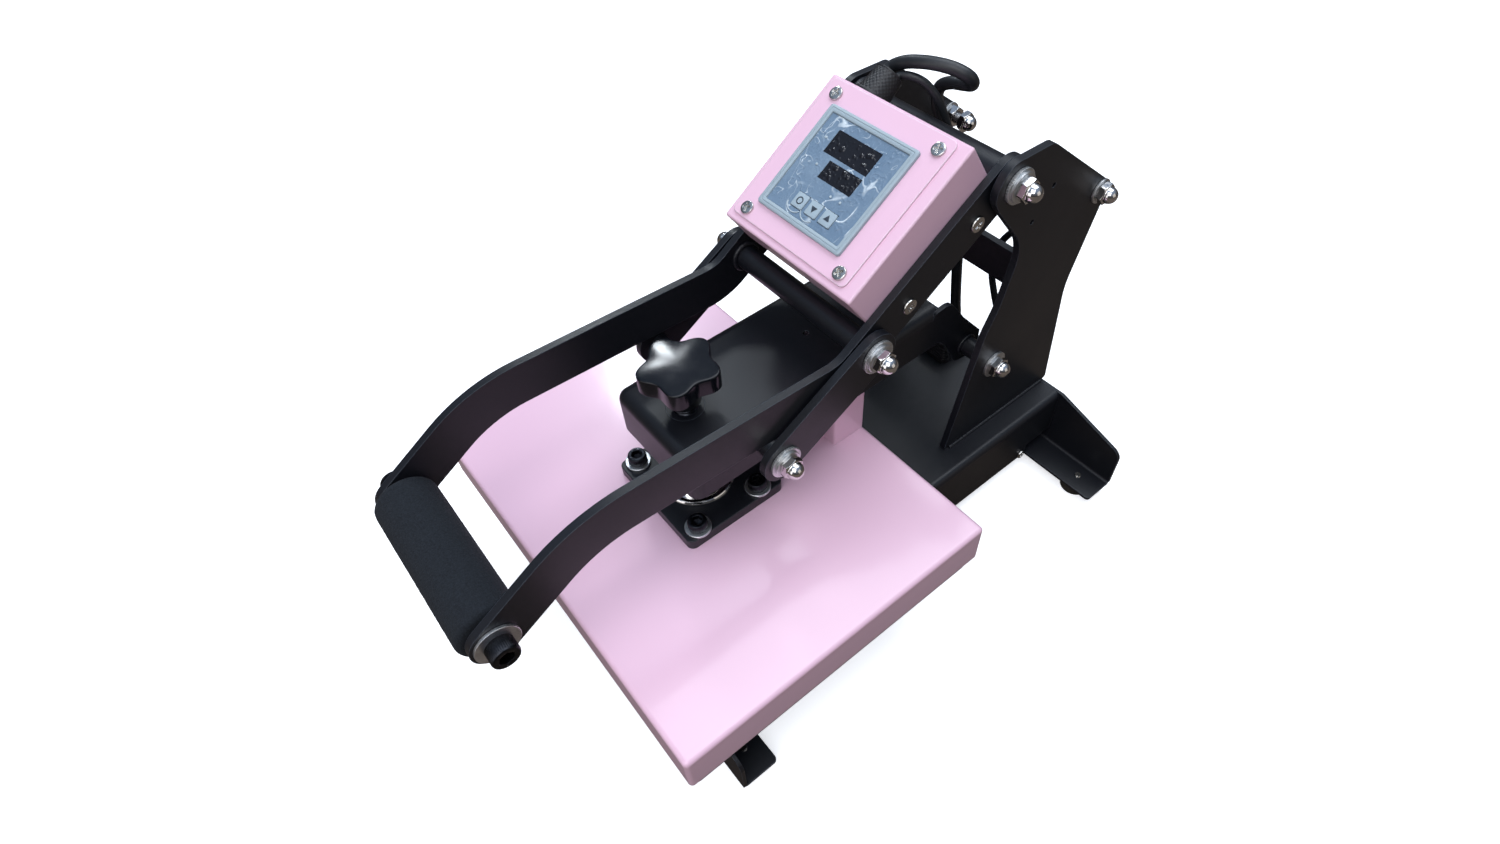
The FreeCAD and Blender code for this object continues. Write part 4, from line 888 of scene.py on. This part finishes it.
# Silicone pad: moulded sheet with a rolled rim and a shallow border line.
# Rows of (half width, corner radius, height).
PLATE_DIFFERENCE = 32.0   # half width less half depth, for the pad and the gasket
PAD = [(145.8, 4.0, 68.6), (146.0, 4.0, 68.7), (146.0, 4.0, 75.6), (145.7, 3.8, 76.2),
       (145.0, 3.4, 76.55), (144.2, 3.0, 76.6), (141.9, 2.6, 76.6), (141.6, 2.5, 76.3),
       (141.1, 2.4, 76.3), (140.8, 2.3, 76.6)]
mesh = bmesh.new()
stack(mesh, along_z(0, 0, 0), [(w, w - PLATE_DIFFERENCE, r, z) for w, r, z in PAD], 6)
finish(mesh, "v_silicone_pad", "silicone", "frame", "silicone_pad")

# ------------------------------------------------------------------ control panel
# Square bezel, rows of (half width, corner radius, height)
BEZEL = [(35.0, 1.5, -6.0), (35.0, 1.5, 0.0), (35.95, 2.0, 0.0), (36.0, 2.0, 0.25),
         (36.0, 2.0, 1.6), (35.8, 1.9, 2.1), (35.3, 1.7, 2.4), (34.1, 1.2, 2.4),
         (33.95, 1.15, 2.15), (33.6, 1.0, 2.15), (33.45, 0.95, 2.4), (32.3, 0.8, 2.4),
         (31.7, 0.6, 2.1), (31.5, 0.5, 1.6), (31.5, 0.5, -6.0)]
mesh = bmesh.new()
stack(mesh, on_panel(0, 0), [(w, w, r, h) for w, r, h in BEZEL], 5, loop=True)
finish(mesh, "v_bezel", "bezel_grey", "handle", "controller_bezel")

# Keys as (name, x), in one row; windows as (x from, x to, up from, up to)
KEYS = [("button_set", -9.6), ("button_down", 2.3), ("button_up", 14.2)]
KEY_UP = -21.9
KEY_HALF = 4.7
HOLE_HALF = KEY_HALF + 0.25
WINDOWS = [(-19.4, 16.6, 9.1, 24.6), (-10.9, 16.5, -5.2, 6.7)]
FILM_HALF = 31.35
FILM_TOP, WINDOW_TOP, FILM_LOW = 1.25, 1.12, -0.4
CELL, FILM, WINDOW, HOLE = 0.42, 0, 1, 2   # largest cell size, then the kinds of cell


def axis_cuts(marks):
    """Cuts across the film that fall on every mark."""
    marks = sorted({-FILM_HALF, FILM_HALF, *marks})
    cuts = []
    for a, b in zip(marks, marks[1:]):
        count = max(1, int(math.ceil((b - a) / CELL)))
        cuts += [a + (b - a) * i / count for i in range(count)]
    return cuts + [FILM_HALF]


x_cuts = axis_cuts([edge for w in WINDOWS for edge in w[:2]]
                   + [x + side * HOLE_HALF for _, x in KEYS for side in SIDES])
up_cuts = axis_cuts([edge for w in WINDOWS for edge in w[2:]]
                    + [KEY_UP + side * HOLE_HALF for side in SIDES])
rng = random.Random(7)
bubbles = []   # (x, up, radius)
for x0, x1, up0, up1 in WINDOWS:
    for _ in range(46):
        r = rng.uniform(0.5, 1.05) if rng.random() < 0.8 else rng.uniform(1.1, 1.7)
        bubbles.append((rng.uniform(x0 + r, x1 - r), rng.uniform(up0 + r, up1 - r), r))


def cell_kind(x, up):
    if any(abs(x - key_x) < HOLE_HALF and abs(up - KEY_UP) < HOLE_HALF for _, key_x in KEYS):
        return HOLE
    if any(x0 < x < x1 and up0 < up < up1 for x0, x1, up0, up1 in WINDOWS):
        return WINDOW
    return FILM


def crease(x, up):
    p = Vector((x * 0.16 + 3.1, up * 0.11 + 1.7, 0.3))
    q = p + Vector((noise.noise(p * 1.7), noise.noise(p * 1.7 + Vector((5, 2, 1))), 0)) * 0.8
    ridge = 1 - min(1.0, abs(noise.noise(q)) * 7.0)
    fine = 1 - min(1.0, abs(noise.noise(q * 2.6 + Vector((9, 4, 2)))) * 5.0)
    return 0.30 * ridge * ridge + 0.12 * fine * fine


def top_height(x, up, window):
    if window:
        height = WINDOW_TOP
        for bubble_x, bubble_up, r in bubbles:
            square = (x - bubble_x) ** 2 + (up - bubble_up) ** 2
            if square < r * r:
                dome = 0.34 * r * math.sqrt(max(0.0, 1 - square / (r * r)))
                height = max(height, WINDOW_TOP + dome)
        return height
    # creases die out towards the film's edge and the keys
    edge = min(1.0, (FILM_HALF - max(abs(x), abs(up))) / 1.5)
    key = 1.0
    for _, key_x in KEYS:
        away = max(abs(x - key_x), abs(up - KEY_UP)) - HOLE_HALF
        key = min(key, max(0.0, away / 1.2))
    return FILM_TOP + crease(x, up) * max(0.0, edge) * key


mesh = bmesh.new()
shared = {}


def film_vert(x, up, height):
    key = (round(x, 4), round(up, 4), round(height, 4))
    if key not in shared:
        shared[key] = mesh.verts.new(on_panel(0, 0)(x, up, height))
    return shared[key]


def film_face(verts, mat):
    face = mesh.faces.new(verts)
    face.material_index = mat
    face.smooth = True


cells_x, cells_up = len(x_cuts) - 1, len(up_cuts) - 1
kinds = [[cell_kind((x_cuts[i] + x_cuts[i + 1]) / 2, (up_cuts[j] + up_cuts[j + 1]) / 2)
          for j in range(cells_up)] for i in range(cells_x)]
# Neighbour's step, and the two corners of the cell on that side
NEIGHBOURS = (((1, 0), (1, 2)), ((0, 1), (2, 3)), ((-1, 0), (3, 0)), ((0, -1), (0, 1)))
for i in range(cells_x):
    for j in range(cells_up):
        kind = kinds[i][j]
        if kind == HOLE:
            continue
        window = kind == WINDOW
        corners = [(x_cuts[i], up_cuts[j]), (x_cuts[i + 1], up_cuts[j]),
                   (x_cuts[i + 1], up_cuts[j + 1]), (x_cuts[i], up_cuts[j + 1])]
        film_face([film_vert(*c, top_height(*c, window)) for c in corners], kind)
        film_face([film_vert(*c, FILM_LOW) for c in reversed(corners)], 0)
        for (step_i, step_j), (first, second) in NEIGHBOURS:
            ni, nj = i + step_i, j + step_j
            inside = 0 <= ni < cells_x and 0 <= nj < cells_up
            other = kinds[ni][nj] if inside else HOLE
            a, b = corners[first], corners[second]
            if other == HOLE:
                film_face([film_vert(*b, top_height(*b, window)),
                           film_vert(*a, top_height(*a, window)),
                           film_vert(*a, FILM_LOW), film_vert(*b, FILM_LOW)], 0)
            elif other != kind and kind == FILM:
                film_face([film_vert(*b, top_height(*b, False)),
                           film_vert(*a, top_height(*a, False)),
                           film_vert(*a, top_height(*a, True)),
                           film_vert(*b, top_height(*b, True))], 0)
finish(mesh, "v_display", "display", "handle", "display_window",
       materials=[SLOT["display"], DARK_WINDOW], smooth=50)

# Keys, with a ring on the first and arrowheads on the others
for name, x in KEYS:
    mesh = bmesh.new()
    place = on_panel(x, KEY_UP)
    slab(mesh, place, KEY_HALF, KEY_HALF, radius=1.0, z0=-2.6, z1=2.0, edge=0.45, steps=5)
    if name == "button_set":
        lathe(mesh, place, [(1.8, 2.3), (2.12, 2.45), (2.16, 2.0), (2.16, 1.75), (1.8, 1.6)],
              48, loop=True, mat=1)
    else:
        way = 1 if name == "button_up" else -1
        arrow = [(-2.3, -1.5 * way), (2.3, -1.5 * way), (0.0, 2.3 * way)][::way]
        grid_rows(mesh, [[place(px * size, py * size, h) for px, py in arrow]
                         for size, h in ((1.0, 1.85), (1.0, 2.1), (0.9, 2.16))], mat=1)
    finish(mesh, "v_" + name, "button_grey", name, name,
           materials=[SLOT["button_grey"], GLYPH])

# Arcs printed by two of the keys, as (x, up, radius, from, to), and four round dots
mesh = bmesh.new()
for x, up, radius, start, end in ((-10.6, -22.9, 6.9, 200, 318), (1.4, -23.4, 6.9, 205, 312)):
    place = on_panel(x, up)
    rows = []
    for k in range(25):
        angle = math.radians(start + (end - start) * k / 24)
        rows.append([place((radius + d) * math.cos(angle), (radius + d) * math.sin(angle), h)
                     for d, h in ((-0.3, 1.2), (0.3, 1.2), (0.3, 1.72), (-0.3, 1.72))])
    grid_rows(mesh, rows)
for x, up in ((-23.8, 17.0), (-17.0, 1.0), (6.0, -10.6), (14.0, -10.6)):
    lathe(mesh, on_panel(x, up), [(1.1, 0.8), (1.66, 0.8), (1.74, 0.6)], 24)
finish(mesh, "v_panel_marks", "bezel_grey", "handle", materials=[PALE])

# Controller case behind the panel
mesh = bmesh.new()
slab(mesh, on_panel(0, 0), 33.0, 33.0, radius=1.5, z0=-26.0, z1=-6.1, edge=0.8, steps=4)
finish(mesh, "v_controller_case", "black_plastic", "handle", "controller_body")


# ------------------------------------------------------------------ cables
def between(a, b, ta, tb, t):
    return a * ((tb - t) / (tb - ta)) + b * ((t - ta) / (tb - ta))


def rail(points, step):
    """Smooth centreline (centripetal Catmull-Rom) through the points, near even steps."""
    points = [points[0] * 2 - points[1]] + points + [points[-1] * 2 - points[-2]]
    path = []
    for i in range(1, len(points) - 2):
        a, b, c, d = points[i - 1:i + 3]
        count = max(2, int((c - b).length / step))
        t0, t1 = 0.0, max(1e-6, (b - a).length) ** 0.5
        t2 = t1 + max(1e-6, (c - b).length) ** 0.5
        t3 = t2 + max(1e-6, (d - c).length) ** 0.5
        for k in range(count):
            t = t1 + (t2 - t1) * k / count
            ab = between(a, b, t0, t1, t)
            bc = between(b, c, t1, t2, t)
            cd = between(c, d, t2, t3, t)
            path.append(between(between(ab, bc, t0, t2, t), between(bc, cd, t1, t3, t),
                                t1, t2, t))
    path.append(points[-2])
    return path


def tube(mesh, path, radius, seg):
    """radius is a function of (length along, angle)."""
    last = len(path) - 1
    tangents = [(path[min(i + 1, last)] - path[max(i - 1, 0)]).normalized()
                for i in range(last + 1)]
    up = Vector((0, 0, 1)) if abs(tangents[0].z) < 0.9 else Vector((1, 0, 0))
    across = tangents[0].cross(up).normalized()
    rows, length = [], 0.0
    for i, tangent in enumerate(tangents):
        if i:
            length += (path[i] - path[i - 1]).length
            across = (across - tangent * across.dot(tangent)).normalized()
        normal = tangent.cross(across)
        row = []
        for k in range(seg):
            angle = TAU * k / seg
            r = radius(length, angle)
            row.append(path[i] + across * (r * math.cos(angle))
                       + normal * (r * math.sin(angle)))
        rows.append(row)
    grid_rows(mesh, rows)


BOOT_X, BOOT_OUT = -34.0, -17.0   # axis of the boot on the box's upper end


def boot_place(x, y, z):
    """Axis out of the box's upper end, along its slope."""
    return box_point(BOOT_X + x, BOX_HALF_LENGTH + z, BOOT_OUT + y)


def cable_route(boot_offset, points):
    """Straight out of the boot, then through the points."""
    return [boot_place(boot_offset, 0.0, z) for z in (-2.0, 5.0, 11.0, 17.0)] + [
        Vector(point) for point in points]


HEATER_SPLIT = (30.0, 262.5, 203.5)   # route points where the cable is cut into separate pieces
HEATER_TAIL = (20.0, 171.0, 141.5)
POWER_ROUTE = cable_route(-3.5, [
    (-36.8, 197.0, 320.0), (-29.0, 200.0, 325.0), (-18.0, 202.5, 328.3), (-7.0, 206.2, 329.4),
    (2.5, 210.5, 328.2), (9.0, 215.0, 324.4), (8.0, 220.0, 318.0), (0.0, 222.5, 314.0),
    (-10.0, 223.0, 311.0), (-19.0, 224.0, 305.0), (-24.0, 227.5, 294.0),
    (-24.0, 233.0, 280.0), (-21.5, 240.5, 262.0), (-17.5, 247.5, 243.0),
    (-13.5, 252.3, 220.0), (-10.8, 255.3, 190.0), (-9.3, 256.3, 156.0), (-6.3, 258.0, 120.0),
    (-5.0, 260.0, 102.0), (-5.0, 260.0, 94.0), (-5.0, 260.0, 84.0), (-5.0, 260.0, 72.0)])
HEATER_ROUTE = cable_route(5.1, [
    (-28.1, 196.0, 318.5), (-21.8, 199.0, 319.5), (-14.5, 203.2, 316.8), (-9.0, 207.3, 310.0),
    (-6.0, 211.4, 301.2), (-4.0, 214.8, 292.1), (-1.0, 218.6, 281.4), (11.0, 232.0, 263.0),
    (30.0, 247.5, 243.0), (42.0, 257.5, 224.0), (38.5, 261.8, 211.5), HEATER_SPLIT,
    (21.5, 262.5, 189.0), (18.0, 262.5, 172.0), (19.3, 262.0, 158.0), (24.3, 261.5, 145.0),
    (32.0, 260.0, 130.0), (38.5, 255.0, 117.0), (39.5, 246.5, 110.0), (36.5, 237.0, 112.0),
    (34.5, 230.0, 120.0), (34.0, 226.5, 130.0), (33.0, 222.5, 139.5), (31.0, 215.5, 146.5),
    (27.0, 205.0, 149.5), (23.0, 189.0, 147.0), HEATER_TAIL, (18.5, 152.0, 134.5),
    (18.0, 137.0, 130.5), (18.0, 127.0, 130.0), (18.0, 120.0, 130.0), (18.0, 112.0, 130.0)])


def uneven(radius, depth, rate):
    return lambda length, angle: radius + depth * noise.noise(
        Vector((length * rate, math.cos(angle), math.sin(angle))))


def add_cable(name, path, radius, seg, replaces=None):
    mesh = bmesh.new()
    tube(mesh, path, radius, seg)
    cable = finish(mesh, name, "cord_rubber", None, replaces, smooth=80)
    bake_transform(cable)


def nearest(path, point):
    return min(range(len(path)), key=lambda i: (path[i] - Vector(point)).length)


add_cable("v_power_cord", rail(POWER_ROUTE, step=1.5), uneven(4.0, depth=0.05, rate=0.2), 32,
          "power_cord")

path = rail(HEATER_ROUTE, step=1.3)
split, tail = nearest(path, HEATER_SPLIT), nearest(path, HEATER_TAIL)
heater_radius = uneven(2.5, depth=0.04, rate=0.25)
add_cable("v_heater_cable_upper", path[:split + 1], heater_radius, 24,
          "heater_cable")
add_cable("v_heater_cable_lower", path[split:tail + 1], heater_radius, 24)
add_cable("v_heater_cable_tail", path[tail:], heater_radius, 24)

# Grommet where the thin cable enters the wiring cover
mesh = bmesh.new()
lathe(mesh, lambda x, y, z: Vector((18.0 + x, 117.8 + z, 130.0 + y)), [
    (-1.6, 2.55), (-1.6, 3.25), (0.0, 3.25), (0.0, 4.9), (0.5, 5.3), (1.6, 5.0), (2.2, 4.0),
    (2.2, 2.55)], 40, loop=True)
finish(mesh, "v_grommet", "cord_rubber", "platen")


def braid(height):
    """Woven surface of two crossing sets of strands, tapering with height."""
    def radius(angle):
        left, right = 22 * angle + 2.1 * height, 22 * angle - 2.1 * height
        product = math.cos(left) * math.cos(right)
        strand = abs(math.cos(left / 2)) ** 0.6 * abs(math.cos(right / 2)) ** 0.6
        return (11.2 - 1.8 * height / 20.0 - 0.25
                + 0.32 * (strand * 0.9 - 0.1 * product * 0.3))
    return radius


# Braided boot at the box: woven sleeve over a moulded collar
mesh = bmesh.new()
rows = [(-4.0, 8.7), (-4.0, 9.45), (0.0, 9.45), (0.0, 12.0), (0.4, 12.45), (2.5, 12.45),
        (3.0, 12.0), (3.0, 11.0)]
rows += [(3.4 + 0.25 * i, braid(3.4 + 0.25 * i)) for i in range(61)]
rows += [(18.8, 9.4), (19.0, 9.65), (19.6, 9.6), (20.0, 9.2), (20.0, 8.9), (19.4, 8.72)]
lathe(mesh, boot_place, rows, 264, loop=True)
finish(mesh, "v_boot", "black_plastic", "handle", "cable_gland", smooth=60)
# Filler web inside the boot's mouth
mesh = bmesh.new()
lathe(mesh, boot_place, [(15.0, 8.8), (16.5, 8.8), (17.1, 8.4), (16.8, 5.0), (16.3, 0.6)])
finish(mesh, "v_boot_plug", "cord_rubber", "handle")

# Cord anchor block with a raised collar and five ribs round it
ANCHOR = (14.0, 16.0, 5.0)   # half x, half y, corner radius
mesh = bmesh.new()
place = along_z(-8.0, 256.0, 0)
slab(mesh, place, *ANCHOR, z0=66.0, z1=86.0, edge=1.2, steps=6, low_edge=0.3)
lathe(mesh, along_z(-5.0, 260.0, 86.0), [
    (-1.5, 4.3), (-1.5, 7.6), (0.0, 7.6), (0.9, 7.5), (1.5, 6.9), (1.6, 6.0), (1.3, 4.6),
    (0.6, 4.3)], 56, loop=True)
for k in range(5):
    z = 70.0 + 2.8 * k
    stack(mesh, place, [(*(size + d for size in ANCHOR), z + dz) for dz, d in
                        ((-0.6, -0.2), (-0.35, 0.35), (0.35, 0.35), (0.6, -0.2))], 6)
finish(mesh, "v_cord_anchor", "black_plastic", "frame", "cord_anchor")


# Mains inlet, facing the rear
def on_inlet(x0, y0):
    return lambda x, y, z: Vector((-52.0 - (x0 + x), 288.0 + z, 41.0 + (y0 + y)))


mesh = bmesh.new()
stack(mesh, on_inlet(0, 0), [
    (13.2, 9.2, 0.8, -26.5), (13.8, 9.8, 1.0, -26.0), (13.8, 9.8, 1.0, -0.02),
    (16.5, 12.5, 2.0, 0.0), (16.5, 12.5, 2.0, 1.9), (16.3, 12.3, 1.9, 2.3),
    (15.9, 11.9, 1.8, 2.5), (12.9, 8.9, 2.2, 2.5), (12.2, 8.2, 2.0, 2.1),
    (12.0, 8.0, 2.0, 1.4), (12.0, 8.0, 2.0, -14.0)], 5)
slab(mesh, on_inlet(0, 0), 9.2, 5.4, radius=1.6, z0=-14.2, z1=-4.0, edge=0.5, steps=4)
finish(mesh, "v_mains_inlet", "black_plastic", "frame", "mains_inlet")
mesh = bmesh.new()
for x, y in ((-6.2, -1.2), (0.0, 1.6), (6.2, -1.2)):
    slab(mesh, on_inlet(x, y), 1.0, 2.0, radius=0.3, z0=-4.4, z1=0.2, edge=0.35, steps=3)
finish(mesh, "v_inlet_pins", "rod_steel", "frame", materials=[BRASS])

# ------------------------------------------------------------------ inside the platen
BLANKET_X, BLANKET_Y = 146.4, 114.4   # half sizes


def blanket_sheet(mesh, z, depth, sign):
    """Uneven sheet at z, its relief pushed in the direction of sign."""
    rows = []
    for j in range(33):
        y = -BLANKET_Y + 2 * BLANKET_Y * j / 32
        row = []
        for i in range(41):
            part = i / 40
            relief = abs(noise.noise(Vector((part * 9, j * 0.28, sign * 3.0))))
            row.append(Vector((-BLANKET_X + 2 * BLANKET_X * part, y,
                               z + sign * depth * relief)))
        rows.append(row)
    return grid_rows(mesh, rows, wrap=False)


def outline(rows):
    return (rows[0] + [row[-1] for row in rows[1:]] + rows[-1][-2::-1]
            + [row[0] for row in rows[-2:0:-1]])


mesh = bmesh.new()
top = outline(blanket_sheet(mesh, z=110.2, depth=1.2, sign=-1))
bottom = outline(blanket_sheet(mesh, z=95.8, depth=0.8, sign=1))
for k in range(len(top)):
    after = (k + 1) % len(top)
    mesh.faces.new((top[k], top[after], bottom[after], bottom[k])).smooth = True
finish(mesh, "v_insulation", "insulation", "platen", "insulation_blanket", smooth=60)

# Sealing bead round the heated plate, just under the cover's rim; rows as in PAD
GASKET = [(148.15, 2.2, 77.6), (148.5, 2.4, 77.55), (149.1, 2.7, 77.9), (149.35, 2.8, 78.5),
          (149.3, 2.8, 79.2), (148.4, 2.4, 79.4), (148.15, 2.2, 79.35)]
mesh = bmesh.new()
stack(mesh, along_z(0, 0, 0), [(w, w - PLATE_DIFFERENCE, r, z) for w, r, z in GASKET], 5,
      loop=True)
finish(mesh, "v_gasket", "insulation", "platen")


# ------------------------------------------------------------------ weld beads
def bead(mesh, points, radius, seed):
    """A rippled fillet weld along a line of points."""
    points = [Vector(point) for point in points]
    path = []
    for a, b in zip(points, points[1:]):
        count = max(1, int((b - a).length / 0.5))
        path += [a.lerp(b, k / count) for k in range(count)]
    path.append(points[-1])

    def ripple(length, angle):
        return radius * (0.90 + 0.10 * abs(math.sin(length * 1.5))
                         + 0.14 * noise.noise(Vector((length * 0.5, seed, angle * 0.3))))
    tube(mesh, path, ripple, 12)


def ring_bead(mesh, center, x, ring_radius, radius, seed):
    angles = [TAU * k / 40 for k in range(41)]
    bead(mesh, [(x, center[0] + ring_radius * math.cos(a), center[1] + ring_radius * math.sin(a))
                for a in angles], radius, seed)


mesh = bmesh.new()
for side in SIDES:
    for x, seed in ((POST_OUT + 0.5, 0), (POST_IN - 0.4, 3)):
        bead(mesh, [(side * x, y, 66.3) for y in range(180, 287, 3)], 1.7, side + seed)
    for y, seed in ((239.7, 5), (245.3, 7)):
        bead(mesh, [(side * (POST_IN - 0.3), y, z) for z in range(181, 204, 2)], 1.4,
             side + seed)
finish(mesh, "v_frame_welds", "frame_black", "frame", smooth=60)
mesh = bmesh.new()
for side in SIDES:
    ring_bead(mesh, LINK_TOP, side * (ARM_IN - 1.0), 8.9, 1.9, side)
    ring_bead(mesh, HANDLE_PIVOT, side * (ARM_IN - 0.7), 11.5, 1.5, side + 2)
finish(mesh, "v_handle_welds", "frame_black", "handle", smooth=60)
mesh = bmesh.new()
for side in SIDES:
    ring_bead(mesh, LINK_END, side * 42.5, 7.6, 1.4, side)
    ring_bead(mesh, ARM_PIVOT, side * 42.5, 7.6, 1.4, side + 4)
finish(mesh, "v_arm_welds", "frame_black", "press_arm", smooth=60)

# ------------------------------------------------------------------ camera (metres)
AZIMUTH, ELEVATION, ROLL = (math.radians(a) for a in (55.50484013, 49.61822176, -4.95643406))
back = Vector((math.sin(AZIMUTH) * math.cos(ELEVATION),
               -math.cos(AZIMUTH) * math.cos(ELEVATION), math.sin(ELEVATION)))
level = Vector((math.cos(AZIMUTH), math.sin(AZIMUTH), 0))
upright = back.cross(level)
right = level * math.cos(ROLL) + upright * math.sin(ROLL)
up = upright * math.cos(ROLL) - level * math.sin(ROLL)
pose = Matrix((right, up, back)).transposed().to_4x4()
pose.translation = Vector((0.30639749826, -0.22175525283, 0.57520756839))
camera_data = bpy.data.cameras.new("camera")
camera_data.sensor_width = 36
camera_data.lens = 20.289528
camera_data.clip_start, camera_data.clip_end = 0.02, 20
camera = bpy.data.objects.new("camera", camera_data)
scene.collection.objects.link(camera)
camera.matrix_world = pose
scene.camera = camera

# ------------------------------------------------------------------ floor (metres)
mesh = bmesh.new()
bmesh.ops.create_grid(mesh, x_segments=1, y_segments=1, size=6.0)
floor_data = bpy.data.meshes.new("floor")
mesh.to_mesh(floor_data)
mesh.free()
floor = bpy.data.objects.new("floor", floor_data)
scene.collection.objects.link(floor)
# The camera sees a bright floor; every other ray meets a dim one
m = new_shader("floor")
m.set(Base_Color=m.mix(m.ramp(m.noise(scale=3, rough=0.5), (0.3, 0), (0.7, 1)),
                       (0.86, 0.86, 0.865), (0.88, 0.88, 0.88)),
      Roughness=0.9, Specular_IOR_Level=0.0, Emission_Color=(0.97, 0.98, 1.0),
      Emission_Strength=0.62)
ray = m.node("ShaderNodeLightPath")
dim = m.node("ShaderNodeBsdfDiffuse")
m.fill(dim, Color=(0.14, 0.11, 0.088))
pick = m.node("ShaderNodeMixShader")
for i, socket in enumerate((ray.outputs["Is Camera Ray"], dim.outputs[0], m.main.outputs[0])):
    m.feed(pick.inputs[i], socket)
m.fill(m.find("OUTPUT_MATERIAL"), Surface=pick.outputs[0])
floor_data.materials.append(m.owner)

# ------------------------------------------------------------------ world and lights
# The sky lights the scene by height; the camera sees plain near-white instead
scene.world = bpy.data.worlds.new("studio")
w = Shader(scene.world)
axes = w.node("ShaderNodeSeparateXYZ")
w.feed(axes.inputs[0], w.coord("Generated"))
sky = w.ramp(axes.outputs[2], (0.0, (0.06, 0.053, 0.050)), (0.35, (0.14, 0.15, 0.175)),
             (1.0, (0.40, 0.52, 0.72)))
ray = w.node("ShaderNodeLightPath")
w.set(Color=w.mix(ray.outputs["Is Camera Ray"], sky, (0.94, 0.95, 0.96)), Strength=1.0)


def area(name, position, target, size, power, color):
    data = bpy.data.lights.new(name, "AREA")
    data.energy = power
    data.size = size
    data.color = color
    light = bpy.data.objects.new(name, data)
    scene.collection.objects.link(light)
    light.location = position
    light.rotation_mode = "QUATERNION"
    light.rotation_quaternion = (Vector(target) - Vector(position)).to_track_quat("-Z", "Y")


area("key", position=(-1.16, 0.46, 1.28), target=(0, 0, 0.12), size=0.17, power=4.2,
     color=(0.88, 0.95, 1.0))
area("fill", position=(0.75, -1.15, 1.9), target=(0, 0, 0.1), size=1.7, power=26,
     color=(1.0, 0.985, 0.99))
area("top", position=(-0.1, 0.75, 2.1), target=(0, 0.08, 0.1), size=1.6, power=28,
     color=(0.93, 0.965, 1.0))
area("side", position=(1.5, 0.5, 0.7), target=(0, 0, 0.15), size=1.0, power=2.0,
     color=(1.0, 0.92, 0.83))
area("front", position=(0.05, -1.7, 0.50), target=(0, 0, 0.14), size=1.1, power=6,
     color=(1.0, 0.97, 0.99))
scene.view_settings.view_transform = "Standard"
scene.view_settings.look = "None"
